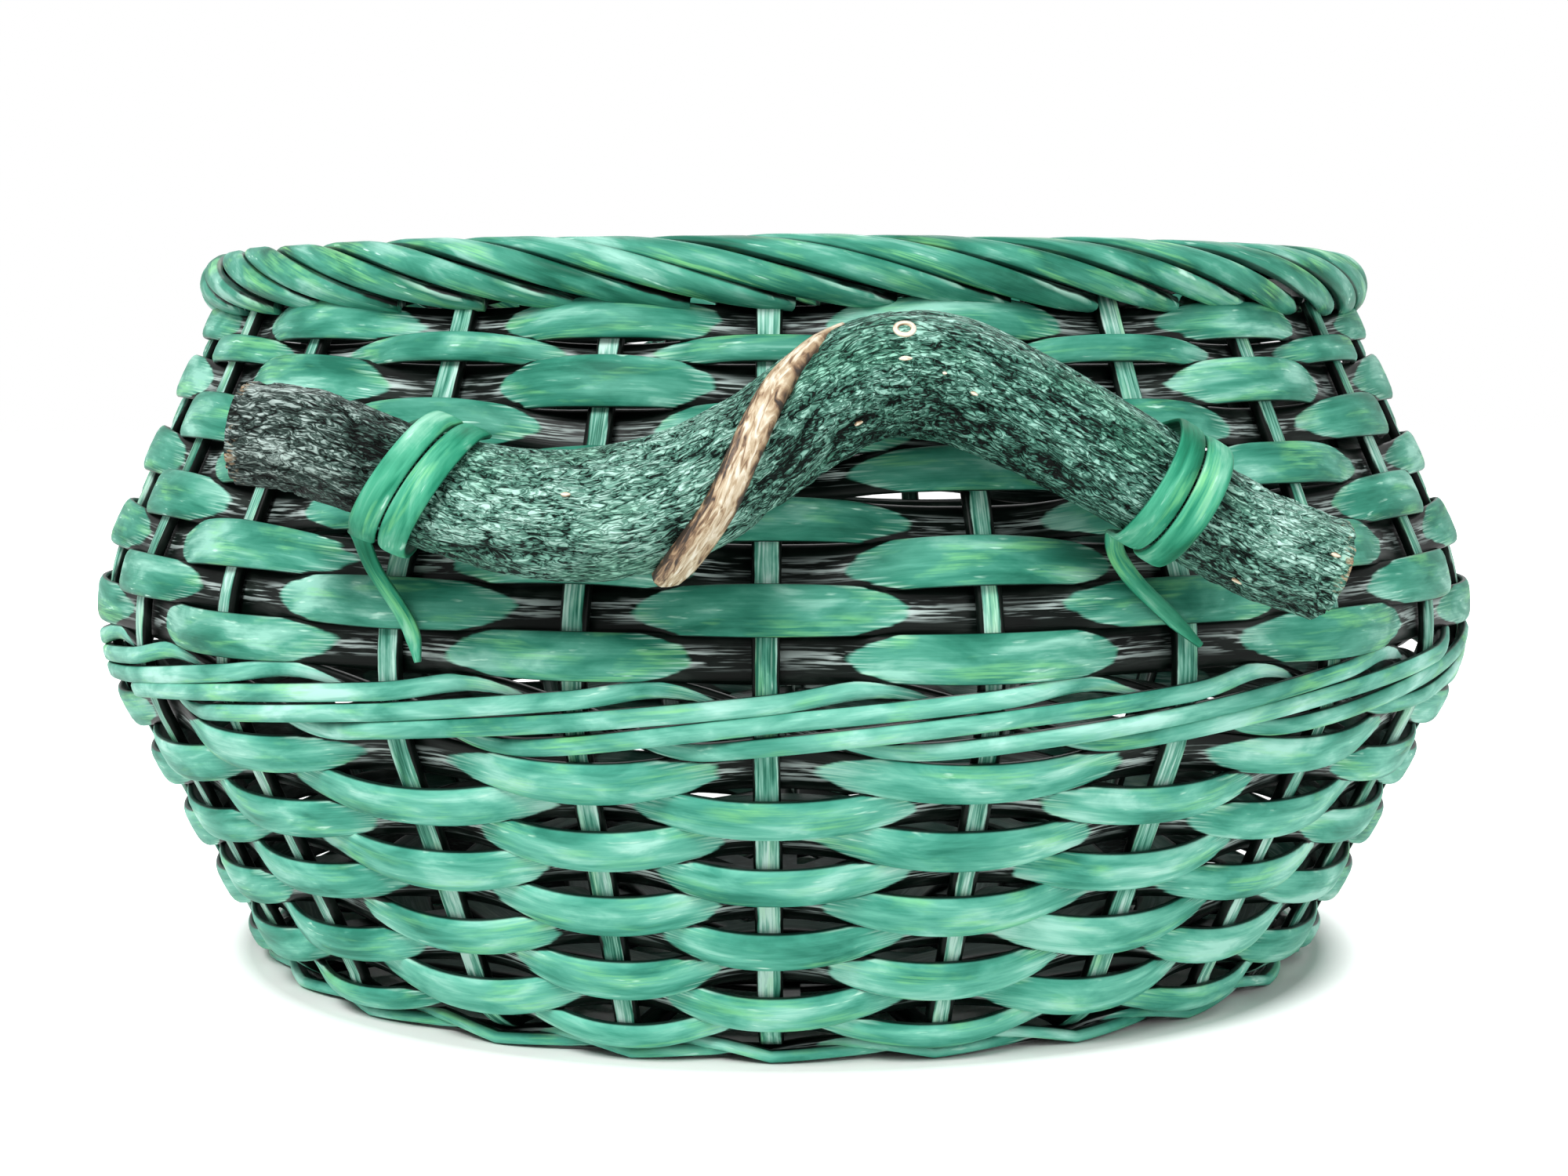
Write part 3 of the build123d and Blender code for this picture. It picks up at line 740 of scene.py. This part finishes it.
def rim_strand(number):
    """One rim cane, rolled over the hoop."""
    chance = np.random.default_rng(600 + number)
    share = np.linspace(0, 1, 44)
    roll = RIM_START + (RIM_END - RIM_START) * share
    turn = math.radians((number + 0.5) * 360 / RIM_CANES) + chance.uniform(-0.012, 0.012)
    angle = turn + RIM_REACH * (share - 1) + RIM_SHIFT
    depth = RIM_DEPTH + chance.uniform(-0.25, 0.12) * MM
    swell = chance.uniform(-0.3, 0.35) * MM
    level = outward(angle)
    facing = level * np.cos(roll)[:, None] + UP * np.sin(roll)[:, None]
    path = level * RIM_RADIUS + UP * RIM_HEIGHT + facing * depth
    width = (4.9 + 0.8 * np.clip(np.cos(roll - 0.7), 0, 1)) * MM + swell
    width = width * np.clip(0.7 + 7 * np.minimum(share, 1 - share), 0, 1)
    front = 0.48 + 0.5 * np.clip(np.sin(roll + 0.75), 0, 1)
    return strand(path, facing, width, 3.1 * MM, front, 650 + number)


for side, numbers in quarters(RIM_CANES):
    rolled = [rim_strand(number) for number in numbers]
    build(f"{side}_rim_strands", rolled, paints["rim"], [f"{side}_rim_canes"])
print("rim canes:", RIM_CANES)

# %% [markdown]
# ## The handles
#
# Each handle is a crooked length of branch with its bark on. It was painted with the basket, so the
# ridges of the bark are pale mint and its furrows stay dark. The bark could be drawn with bump
# alone, but its outline would then be as smooth as a pipe, so the larger wrinkles are moved in the
# mesh and only the finest are left to the finish. Wrinkles run along the branch: they are about
# 1.8 mm apart and 7 mm long, with creases 1 mm apart between them.

# %% Bark
# Length along the branch and width round it, in mm
WRINKLES, CREASES = (7.0, 1.8), (2.6, 1.0)
CRUMBS, SWELLS = (1.42857, 0.666667), (22.2222, 11.1111)
# Colours from the creases to the ridges: painted, pale (a painted highlight near the right end),
# leafy and bare
PAINTED_BARK = (
    (0.30, "#020806"),
    (0.44, "#234a3e"),
    (0.55, "#487c6c"),
    (0.68, "#72a796"),
    (0.86, "#b4e6d7"),
)
PALE_BARK_AND_HIGHLIGHT = ((0.30, "#0a1c17"), (0.45, "#578a7a"), (0.62, "#93c7b5"), (0.84, "#d8fbf0"))
LEAFY_BARK = ((0.32, "#02110b"), (0.62, "#2a6b53"), (0.90, "#7fcbaa"))
BARE_BARK = ((0.32, "#030504"), (0.58, "#3c4845"), (0.88, "#b9c8c4"))
CHIPPED = "#c6ab8a"
BARK_GLOSS = 0.12


def per_metre(length, width):
    """How often a pattern of a size in mm comes in a metre, along the branch and round it."""
    return 1 / (length * MM), 1 / (width * MM), 1 / (width * MM)


def bark_material():
    """Painted bark: dark furrows, pale ridges, and tan chips round the sawn ends."""
    material, tree = new_material("painted_bark")
    place, cut, furrow_and_shade, shade = carried(tree)

    def creases(size, width):
        """Thin winding lines, dark where the noise is near its middle value."""
        spot = add(tree, "Mapping", {0: place, "Scale": per_metre(*size)})
        value = add(
            tree, "TexNoise", {"Vector": spot, "Scale": 1.0, "Detail": 2.0, "Distortion": 1.1}
        )
        value = add(tree, "Math", {0: value, 1: 0.5}, operation="SUBTRACT")
        value = add(tree, "Math", {0: value}, operation="ABSOLUTE")
        return add(tree, "MapRange", {"Value": value, "From Max": width})

    folds, lines = creases(WRINKLES, 0.08), creases(CREASES, 0.11)
    crumbs, broad = [
        add(tree, "TexNoise", {"Vector": spot, "Scale": 1.0, "Detail": 3.0})
        for spot in (
            add(tree, "Mapping", {0: place, "Scale": per_metre(*size)}) for size in (CRUMBS, SWELLS)
        )
    ]

    # Height of the bark, from 0 in the deepest crease to about 1 on a ridge. The furrow part also
    # carries painted shade on the branch's underside
    height = -0.13
    for part, weight in (
        (folds, 0.28),
        (lines, 0.27),
        (crumbs, 0.18),
        (furrow_and_shade, 0.40),
        (broad, 0.46),
    ):
        height = add(tree, "Math", {0: part, 1: weight, 2: height}, operation="MULTIPLY_ADD")

    # Tints along the branch and in broad patches, each with its own colours for the same height
    leafy = {"Value": broad, "From Min": 0.52, "From Max": 0.64, "To Max": 0.6}
    tints = (
        (add(tree, "Math", {0: shade, 1: -1.0}, operation="MULTIPLY", use_clamp=True), PALE_BARK_AND_HIGHLIGHT),
        (add(tree, "MapRange", leafy), LEAFY_BARK),
        (add(tree, "Math", {0: shade, 1: 1.0}, operation="MULTIPLY", use_clamp=True), BARE_BARK),
    )
    colour = add(tree, "ValToRGB", {0: height}, stops=PAINTED_BARK)
    for share, stops in tints:
        tint = add(tree, "ValToRGB", {0: height}, stops=stops)
        colour = add(tree, "Mix", {0: share, 6: colour, 7: tint}, 2, data_type="RGBA")

    # Sawn ends: dark fibres, with bare tan wood where the rim has chipped
    chip = add(tree, "Math", {0: crumbs, 1: broad}, operation="ADD")
    chip = add(tree, "MapRange", {"Value": chip, "From Min": 1.10, "From Max": 1.20})
    chip = add(tree, "Math", {0: chip, 1: cut}, operation="MULTIPLY")
    colour = add(tree, "Mix", {0: chip, 6: colour, 7: linear(CHIPPED)}, 2, data_type="RGBA")

    relief = add(tree, "Bump", {"Height": height, "Strength": 1.0, "Distance": 1.0 * MM})
    rough = add(tree, "MapRange", {"Value": height, "To Min": 0.62, "To Max": 0.34})
    looks = {"Base Color": colour, "Roughness": rough, "Normal": relief, "IOR": 1.5}
    shader = add(tree, "BsdfPrincipled", {**looks, "Specular IOR Level": BARK_GLOSS})
    add(tree, "OutputMaterial", {0: shader}, None)
    return material


bark = bark_material()
print("handle finish:", bark.name)


# %% Bare wood
# Length and width of its grain in mm, and colours from its edges to its palest grain
WOOD_GRAIN = (3.84615, 1.0)
BARE_WOOD = (
    (0.26, "#2e231a"),
    (0.36, "#7d6249"),
    (0.45, "#b09777"),
    (0.55, "#d2c1a4"),
    (0.66, "#f0e8d6"),
)


def bare_wood_material():
    """Wood where the bark has come away: pale brown, grey in the grain, darker at its edges."""
    material, tree = new_material("bare_branch_wood")
    place, fresh, across, _ = carried(tree)
    scale = (*per_metre(*WOOD_GRAIN)[:2], 9.0)
    spot = add(tree, "Mapping", {0: place, "Scale": scale})
    grain = add(tree, "TexNoise", {"Vector": spot, "Scale": 1.0, "Detail": 5.0, "Distortion": 0.9})
    tone = grain
    for part, weight in (
        # Darker at the strip's edges: partly the torn wood's own brown, partly painted shade beside
        # its raised sides
        (add(tree, "Math", {0: across, 1: 2.0}, operation="POWER"), -0.28),
        (fresh, 0.25),
    ):
        tone = add(tree, "Math", {0: part, 1: weight, 2: tone}, operation="MULTIPLY_ADD")
    colour = add(tree, "ValToRGB", {0: tone}, stops=BARE_WOOD)
    relief = add(tree, "Bump", {"Height": grain, "Strength": 0.8, "Distance": 0.4 * MM})
    looks = {"Base Color": colour, "Roughness": 0.55, "Normal": relief}
    add(tree, "OutputMaterial", {0: add(tree, "BsdfPrincipled", looks)}, None)
    return material


bare_wood = bare_wood_material()
print("handle finish:", bare_wood.name)

# %% The branch's line
# Middle line from its left end: across, out from the basket's middle, height and radius, in mm
BRANCH_LINE = (
    (-103.5, 165.0, 133.5, 9.6),
    (-92.0, 167.0, 132.0, 10.4),
    (-78.0, 170.0, 127.5, 10.6),
    (-64.0, 172.0, 121.9, 11.4),
    (-48.0, 176.5, 118.8, 12.2),
    (-33.0, 179.0, 119.0, 12.8),
    (-19.0, 178.0, 122.6, 12.4),
    (-6.0, 173.0, 130.0, 11.8),
    (6.0, 167.5, 138.6, 11.8),
    (18.0, 164.5, 144.2, 12.6),
    (31.0, 164.5, 144.0, 12.4),
    (45.0, 167.0, 138.2, 11.6),
    (59.0, 169.6, 130.6, 11.0),
    (73.0, 171.0, 122.4, 10.6),
    (89.0, 168.5, 113.0, 10.8),
    (104.5, 165.0, 107.2, 10.8),
)
branch_rows = np.array(BRANCH_LINE) * MM
branch_path = smooth(branch_rows, 26)
branch_middle = np.stack([branch_path[:, 0], -branch_path[:, 1], branch_path[:, 2]], axis=-1)
branch_along = unit(np.gradient(branch_middle, axis=0))
branch_out = unit(FORWARD - branch_along * (branch_along @ FORWARD)[:, None])
branch_under = np.cross(branch_along, branch_out)
branch_travel = np.concatenate(
    [[0.0], np.cumsum(np.linalg.norm(np.diff(branch_middle, axis=0), axis=1))]
)
print("branch length:", round(branch_travel[-1], 4), "m")

# %% [markdown]
# The bark's own relief comes from noise that is measured in a straightened branch, so that it runs
# along the bends and closes round the girth. A few long folds are listed and drawn on it, and the
# left end flares a little.

# %% Relief of the bark
noise.seed_set(4)  # noise_vector shifts its noise by this seed, or by the clock without one
# Long folds in the bark: from and to place across, from and to turn round the branch, depth in mm
FOLDS = (
    (-14.0, 12.0, 36.0, -8.0, 1.0),
    (-6.0, 20.0, 62.0, 18.0, 0.9),
    (22.0, 48.0, 40.0, 8.0, 0.8),
    (-70.0, -30.0, 52.0, 34.0, 0.6),
    (76.0, 100.0, 30.0, 12.0, 0.6),
)
FOLD_WIDTH = 1.1 * MM
FLARE, FLARE_LENGTH = 0.08, 0.028  # how much wider the left end is, as a share, and for how far
# Tint along the branch: 1 is grey and unpainted, 0 green, -1 pale mint; the pale mint near the
# right end is a painted highlight
TINT_PLACES = np.array((-103, -78, -66, -50, -12, 6, 40, 70, 84, 104)) * MM
TINTS = (0.95, 0.75, 0.0, -0.65, -0.6, -0.1, 0.0, 0.0, -0.5, -0.5)


def bark_height(travel, side_x, side_y):
    """How far the bark stands in or out, from -1 to 1, in a straightened branch."""
    spot = Vector((travel / 0.0085, side_x / 0.0030, side_y / 0.0030))
    spot += noise.noise_vector(spot * 0.5) * 0.7
    fine = noise.fractal(spot, 0.9, 2.1, 4)
    crease = min(1.0, abs(noise.noise(spot * 0.8)) / 0.16) - 1.0
    lump = noise.noise(Vector((travel / 0.021, side_x / 0.010, side_y / 0.010)))
    return 0.40 * fine + 0.75 * crease + 0.6 * lump + 0.25


def fold_depth(across, turn, radius):
    """How deep a long fold cuts at a place on the bark, in metres."""
    depth = 0.0
    for start, end, first, final, deepest in FOLDS:
        share = (across / MM - start) / (end - start)
        if 0 < share < 1:
            wave = 6 * math.sin(9 * share + start)
            line = math.radians(first + (final - first) * share + wave)
            apart = math.remainder(turn - line, 2 * math.pi) * radius / FOLD_WIDTH
            depth += deepest * MM * math.exp(-apart * apart) * math.sin(math.pi * share)
    return depth
print("folds in the bark:", len(FOLDS))

# %% The branch
BRANCH_SIDES = 96
SAWN_EDGE = 2.5 * MM  # how far in from a sawn end the bark is chipped
# Rings that round a sawn end off, from its middle out: share of the radius, and push out in mm
SAWN_END = ((0.05, 0.1), (0.55, 0.05), (0.90, 0.10), (0.985, 0.0))


def branch_strand():
    """Rings of bark along the branch, with rounded sawn ends."""
    turns = np.linspace(0, 2 * math.pi, BRANCH_SIDES, endpoint=False)
    rings, grain, paint = [], [], []
    last = len(branch_path) - 1
    left = [(0, shrink, -push) for shrink, push in SAWN_END]
    body = [(place, 1.0, 0.0) for place in range(last + 1)]
    right = [(last, shrink, push) for shrink, push in reversed(SAWN_END)]
    for place, shrink, push in left + body + right:
        radius = branch_path[place, 3]
        cap = shrink < 1
        ring, ring_grain, ring_paint = [], [], []
        for turn in turns:
            side = (radius * math.cos(turn), radius * math.sin(turn))
            bump = bark_height(branch_travel[place], *side)
            oval = 0.035 * math.cos(2 * turn + 55 * branch_travel[place])
            flare = FLARE * max(0.0, 1 - branch_travel[place] / FLARE_LENGTH)
            fold = fold_depth(branch_middle[place, 0], turn, radius)
            reach = radius * (0.955 + oval + flare) + 1.05 * MM * bump
            reach = (min(reach, radius * (0.995 + flare)) - fold) * shrink
            direction = branch_out[place] * math.cos(turn) + branch_under[place] * math.sin(turn)
            inward = branch_along[place] * (push * MM)
            rough_cut = branch_along[place] * (0.35 * MM * bump if cap else 0.0)
            ring.append(branch_middle[place] + direction * reach + inward + rough_cut)
            near_end = min(branch_travel[place], branch_travel[-1] - branch_travel[place])
            edge = 1.0 if cap else float(np.clip(1 - near_end / SAWN_EDGE, 0, 1))
            across = branch_middle[place, 0]
            tint = float(np.interp(across, TINT_PLACES, TINTS))
            ring_grain.append((branch_travel[place] + (1 - shrink) * 0.01, side[0], side[1]))
            # The paint value follows the bark's relief and is lowered in the long folds; on the
            # underside it is lowered as painted shade
            underside_shade = max(0.0, math.sin(turn) - 0.15)
            relief_and_shade = float(np.clip(bump - 1.2 * fold / MM - 0.7 * underside_shade, -1.6, 1))
            ring_paint.append((edge, relief_and_shade * 0.5, tint))
        rings.append(ring)
        grain.append(ring_grain)
        paint.append(ring_paint)
    return np.array(rings), np.array(grain), np.array(paint)


def build_both(label, strands, material, stands_for="", body=""):
    """Builds a piece of the front handle, and the same turned half round for the rear one."""
    for end, way in (("front", np.ones(3)), ("rear", np.array([-1.0, -1.0, 1.0]))):
        handle = f"{end}_handle"
        turned = [(points * way, grain, paint) for points, grain, paint in strands]
        nodes = [f"{handle}_{stands_for}"] if stands_for else []
        build(f"{handle}_{label}", turned, material, nodes, body or handle)


branch_rings = branch_strand()
build_both("bark", [branch_rings], bark, "branch")
print("rings of bark:", len(branch_rings[0]))

# %% [markdown]
# A strip of bare wood crosses the front of each handle, where a side shoot was torn away. It is a
# strand like the canes, laid on the branch by its place along it and its turn round it, so it sits
# on the bark from any side.

# %% Torn strip
# Place across, turn round the branch from its front (down is positive), lift and width, in mm
TORN_STRIP = (
    (15.0, -84.0, -1.6, 2.0),
    (9.0, -64.0, -0.4, 4.2),
    (1.5, -42.0, 0.5, 5.6),
    (-6.0, -20.0, 0.9, 6.2),
    (-12.5, 3.0, 1.1, 6.2),
    (-17.5, 26.0, 1.3, 6.6),
    (-21.5, 46.0, 1.7, 7.2),
    (-24.0, 62.0, 2.1, 7.2),
    (-25.5, 74.0, 2.3, 6.4),
)


def on_branch(across, turn, lift):
    """Points on the bark and the directions that face out of it."""
    place = np.interp(across, branch_middle[:, 0], np.arange(len(branch_middle)))
    rings = np.arange(len(branch_middle))

    def between(rows):
        return np.stack([np.interp(place, rings, rows[:, axis]) for axis in range(3)], axis=-1)

    angle = np.radians(turn)[:, None]
    facing = unit(between(branch_out) * np.cos(angle) + between(branch_under) * np.sin(angle))
    radius = np.interp(place, rings, branch_path[:, 3])
    return between(branch_middle) + facing * (radius * 0.955 + lift)[:, None], facing


torn = smooth(TORN_STRIP, 9)
torn_path, torn_out = on_branch(torn[:, 0] * MM, torn[:, 1], torn[:, 2] * MM)
kernel = np.ones(5) / 5
for axis in range(3):
    torn_path[2:-2, axis] = np.convolve(torn_path[:, axis], kernel, mode="valid")
torn_strand = strand(torn_path, torn_out, torn[:, 3] * MM, 3.6 * MM, 0.2, 4)
build_both("torn_wood", [torn_strand], bare_wood)
print("torn strip:", len(torn_path), "rings")

# %% Twig scar and chips
# Place across, turn, radius, and the branch's own radius there, in mm
SCAR_PLACE, SCAR_TURN, SCAR_RADIUS, SCAR_BRANCH = 22.8, -43.0, 1.5, 12.4
# Small chips down to bare wood: place across, turn, length and width, in mm
CHIPS = (
    (22.6, -14.0, 2.8, 1.1),
    (8.5, 34.0, 1.6, 0.8),
    (38.0, 6.0, 1.4, 0.8),
    (31.0, -4.0, 1.0, 0.7),
    (-38.0, -22.0, 1.6, 0.9),
    (88.0, 48.0, 1.6, 0.9),
    (-97.0, 20.0, 2.4, 1.2),
    (101.0, -18.0, 1.8, 1.0),
)
CHIP_TAPER = np.array([0.3, 0.8, 1.0, 0.9, 0.7, 0.3])
round_scar = np.linspace(0, 2 * math.pi, 25)
scar_line = SCAR_PLACE + SCAR_RADIUS * np.cos(round_scar)
scar_turn = SCAR_TURN + np.degrees(SCAR_RADIUS * np.sin(round_scar) / SCAR_BRANCH)
scar_path, scar_out = on_branch(scar_line * MM, scar_turn, np.full(25, 0.5 * MM))
marks = [strand(scar_path, scar_out, 1.1 * MM, 0.8 * MM, 0.9, 40)]
for number, (across, turn, length, width) in enumerate(CHIPS):
    chip_line = np.linspace(across - length / 2, across + length / 2, 6) * MM
    chip_path, chip_out = on_branch(chip_line, np.full(6, turn), np.full(6, 0.3 * MM))
    chip_width = width * CHIP_TAPER * MM
    marks.append(strand(chip_path, chip_out, chip_width, 0.6 * MM, 0.7, 41 + number))
build_both("scars", marks, bare_wood)
print("scar and chips:", len(marks))

# %% [markdown]
# ## The lashings
#
# A flat strip of split cane ties each end of a handle. It comes out through the wall, goes over the
# branch, back in under it, out again for a second turn, and its tail hangs down over the weave. The
# strip is one unbroken length, so it is drawn as one strand through its holds.

# %% Lashings
LASHING_WIDTH, LASHING_THICK = 5.7 * MM, 1.25 * MM
LASHING_SPLAY, LASHING_SPREAD = 3.1 * MM, 5.9 * MM
# Half of the wall and half of the strip, and so how far out and in the strip's middle line runs
HALF_WALL, HALF_STRIP = 4.0 * MM, 0.65 * MM
LASHING_FACE = HALF_WALL + 0.4 * MM + HALF_STRIP
LASHING_INSIDE = -(HALF_WALL + 1.1 * MM + HALF_STRIP)
LASHING_BEVEL, LASHING_END = 1.5 * MM, 7.5 * MM
UPPER_PITCH = (NECK - UPPER_WALL) / UPPER_ROWS
LOW_TIE, HIGH_TIE = UPPER_WALL + 3 * UPPER_PITCH, UPPER_WALL + 5 * UPPER_PITCH
# The tails' points: height, lift off the wall and drift along it, in mm
LEFT_TAIL = (
    (107.0, 11.0, 0.5),
    (103.0, 6.0, 1.5),
    (98.5, 2.0, 5.0),
    (93.5, 0.3, 8.5),
    (88.0, 0.0, 10.0),
)
RIGHT_TAIL = (
    (107.5, 12.0, -22.0),
    (105.5, 7.0, -20.5),
    (101.5, 2.0, -14.5),
    (96.5, 0.3, -7.5),
    (90.5, 0.0, 0.0),
)
# Stake, place across, room round the branch, side of the first way back, slant of its turns, tail
LASHINGS = {
    "left": (-2, -69.0, 1.9, 1, 3.0, LEFT_TAIL),
    "right": (2, 73.0, 1.5, -1, 0.0, RIGHT_TAIL),
}


def lashing_strand(stake, across, room, back, slant, tail, seed):
    """One lashing, from its tucked end to its tail."""
    angle = stake_angle(stake)
    middles = branch_rows[:, :3] * np.array([1, -1, 1])
    index = int(np.argmax(branch_rows[:, 0] > across * MM))
    start, end = middles[index - 1], middles[index]
    share = (across * MM - start[0]) / (end[0] - start[0])
    centre = start + (end - start) * share
    along = unit(end - start)
    front = unit(FORWARD - along * (along @ FORWARD))
    top = np.cross(front, along)
    radius = branch_rows[index - 1, 3] * (1 - share) + branch_rows[index, 3] * share
    radius += room * MM + HALF_STRIP

    def wall_spot(height, offset, drift):
        place = angle + drift / float(wall(height)[0])
        point, _ = on_wall(np.array([place]), np.array([height]), np.array([offset]))
        return point[0], np.array([math.cos(place), math.sin(place), 0])

    def turn(side, bends):
        spots = []
        for roll in [math.radians(103 - 25.5 * bend) for bend in range(bends)]:
            middle = centre + along * (side * LASHING_SPLAY + slant * MM * math.sin(roll))
            spots.append((middle + (front * math.cos(roll) + top * math.sin(roll)) * radius, along))
        return spots

    side, inside = LASHING_SPREAD, LASHING_INSIDE
    through, bevel = inside + LASHING_BEVEL, LASHING_BEVEL
    start_holds = (
        (HIGH_TIE - LASHING_END, inside, side),
        (HIGH_TIE - bevel, inside, side),
        (HIGH_TIE, through, side),
        (HIGH_TIE, LASHING_FACE, side),
    )
    back_holds = (
        (LOW_TIE, LASHING_FACE, back * side),
        (LOW_TIE, through, back * side),
        (LOW_TIE + bevel, inside, back * side),
        (HIGH_TIE - bevel, inside, -side),
        (HIGH_TIE, through, -side),
        (HIGH_TIE, LASHING_FACE, -side),
    )
    tail_holds = [(high * MM, LASHING_FACE + lift * MM, drift * MM) for high, lift, drift in tail]
    spots = [wall_spot(*hold) for hold in start_holds] + turn(1, 9)
    spots += [wall_spot(*hold) for hold in back_holds] + turn(-1, 8)
    spots += [wall_spot(*hold) for hold in tail_holds]
    line = smooth(np.array([np.concatenate(spot) for spot in spots]), 7)
    for _ in range(6):
        line[1:-1] = (line[:-2] + 2 * line[1:-1] + line[2:]) / 4
    onward = unit(np.gradient(line[:, :3], axis=0))
    facing = unit(np.cross(onward, line[:, 3:]))
    travelled = np.linspace(0, 1, len(line))
    width = LASHING_WIDTH * (1 + 0.05 * np.sin(travelled * 21 + seed))
    width = width * np.interp(travelled, (0.80, 0.90), (1.0, 0.66))
    width = width * np.clip(0.35 + (1 - travelled) * 26, 0, 1)
    return strand(line[:, :3], facing, width, LASHING_THICK, 0.8, seed)


for place, (side, facts) in enumerate(LASHINGS.items()):
    tie = [lashing_strand(*facts, 700 + place)]
    build_both(f"{side}_tie", tie, paints["lashing"], f"{side}_lashing", "basket")
print("lashings: 4")

# %% [markdown]
# ## Pieces that keep their frame shape
#
# The hoop in the rim and the sticks of the base are already the right shape, so they only need the
# dark cane. They carry no numbers for the paint, so their fibres are placed by the object itself.


# %% Dark cane for the hidden sticks
DARK_CANE = ((0.36, "#0a0f0e"), (0.54, "#1b2422"), (0.70, "#3f4b48"))
FIBRE_LENGTH, FIBRE_WIDTH = 3.33333 * MM, 0.454545 * MM


def dark_cane_material():
    """Stained cane with no green on it, for sticks that the brush never reached."""
    material, tree = new_material("dark_stained_cane")
    place = add(tree, "TexCoord", {}, "Object")
    scale = (1 / FIBRE_LENGTH, 1 / FIBRE_LENGTH, 1 / FIBRE_WIDTH)
    spot = add(tree, "Mapping", {0: place, "Scale": scale})
    grain = add(tree, "TexNoise", {"Vector": spot, "Scale": 1.0, "Detail": 4.0})
    colour = add(tree, "ValToRGB", {0: grain}, stops=DARK_CANE)
    relief = add(tree, "Bump", {"Height": grain, "Strength": 0.5, "Distance": 0.15 * MM})
    looks = {"Base Color": colour, "Roughness": 0.42, "Normal": relief}
    add(tree, "OutputMaterial", {0: add(tree, "BsdfPrincipled", looks)}, None)
    return material


dark_cane = dark_cane_material()
for node in ("rim_hoop", "base_split_sticks", "base_plain_sticks"):
    for material_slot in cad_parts[node].material_slots:
        material_slot.material = dark_cane
print("frame pieces kept: 3")

# %% [markdown]
# ## Floor, light and camera
#
# The floor and the world are white to the camera, through their own materials, so the lamps can
# stay at the plain level at which a colour shows as it is written. The floor glows only outside the
# foot, because a glow under the basket would show as white between the canes. A broad soft lamp
# stands up and to the left in front, weaker ones stand to the right and behind, and the world fills
# the rest.

# %% Floor and world
FLOOR_GLOW, SKY_LIGHT = 0.76, 0.24
GLOW_START, GLOW_FULL = FOOT_RADIUS + 5 * MM, FOOT_RADIUS + 15 * MM
FLOOR_HALF = 4


def seen_white(tree):
    """1 for a ray from the camera or off a glossy face, and 0 for any other."""
    ray = add(tree, "LightPath", {}, None)
    kinds = {0: ray["Is Camera Ray"], 1: ray["Is Glossy Ray"]}
    return add(tree, "Math", kinds, operation="MAXIMUM")


floor_material, tree = new_material("white_paper_floor")
spot = add(tree, "TexCoord", {}, "Object")
limits = {
    "Value": add(tree, "VectorMath", {0: spot}, "Value", operation="LENGTH"),
    "From Min": GLOW_START,
    "From Max": GLOW_FULL,
    "To Max": FLOOR_GLOW,
}
open_floor = add(tree, "MapRange", limits)
glow = add(tree, "Math", {0: seen_white(tree), 1: open_floor}, operation="MULTIPLY")
paper = add(tree, "BsdfDiffuse", {"Color": linear("#f4f4f2")})
lit = add(tree, "Emission", {"Color": (1, 1, 1, 1), "Strength": glow})
add(tree, "OutputMaterial", {0: add(tree, "AddShader", {0: paper, 1: lit})}, None)
floor_mesh = bpy.data.meshes.new("floor")
corners = [(x * FLOOR_HALF, y * FLOOR_HALF, 0) for x, y in ((-1, -1), (1, -1), (1, 1), (-1, 1))]
floor_mesh.from_pydata(corners, [], [(0, 1, 2, 3)])
floor_mesh.materials.append(floor_material)
floor = bpy.data.objects.new("floor", floor_mesh)
bpy.context.scene.collection.objects.link(floor)

world = bpy.data.worlds.new("studio")
world.use_nodes = True
tree = world.node_tree
tree.nodes.clear()
level = add(tree, "MapRange", {"Value": seen_white(tree), "To Min": SKY_LIGHT})
sky = add(tree, "Background", {"Color": (1, 1, 1, 1), "Strength": level})
add(tree, "OutputWorld", {0: sky}, None)
bpy.context.scene.world = world
print("glow of the floor and of the world:", FLOOR_GLOW, SKY_LIGHT)


# %% Lamps and camera
LAMP_AIM = Vector((0, 0, 0.09))
# Place and size in metres, and power in watts
LAMPS = {
    "key": ((-0.8, -1.4, 1.7), 0.9, 46),
    "fill": ((1.5, -1.4, 0.8), 1.4, 14),
    "back": ((0.3, 1.6, 1.5), 1.4, 14),
}
CAMERA_PLACE, CAMERA_TILT = (0, -0.655, 0.1495), 5.35  # metres, and degrees down
CAMERA_LENS, CAMERA_SENSOR = 58.5, 36
for name, (place, size, power) in LAMPS.items():
    data = bpy.data.lights.new(name, "AREA")
    data.shape, data.size, data.energy = "SQUARE", size, power
    light = bpy.data.objects.new(name, data)
    light.location = place
    aim = LAMP_AIM - Vector(place)
    light.rotation_euler = aim.to_track_quat("-Z", "Y").to_euler()
    bpy.context.scene.collection.objects.link(light)

camera_data = bpy.data.cameras.new("camera")
camera_data.lens, camera_data.sensor_width = CAMERA_LENS, CAMERA_SENSOR
camera = bpy.data.objects.new("camera", camera_data)
camera.location = CAMERA_PLACE
camera.rotation_euler = (math.radians(90 - CAMERA_TILT), 0, 0)
bpy.context.scene.collection.objects.link(camera)
bpy.context.scene.camera = camera
bpy.context.scene.view_settings.view_transform = "Standard"
print("camera distance:", abs(camera.location.y), "m")
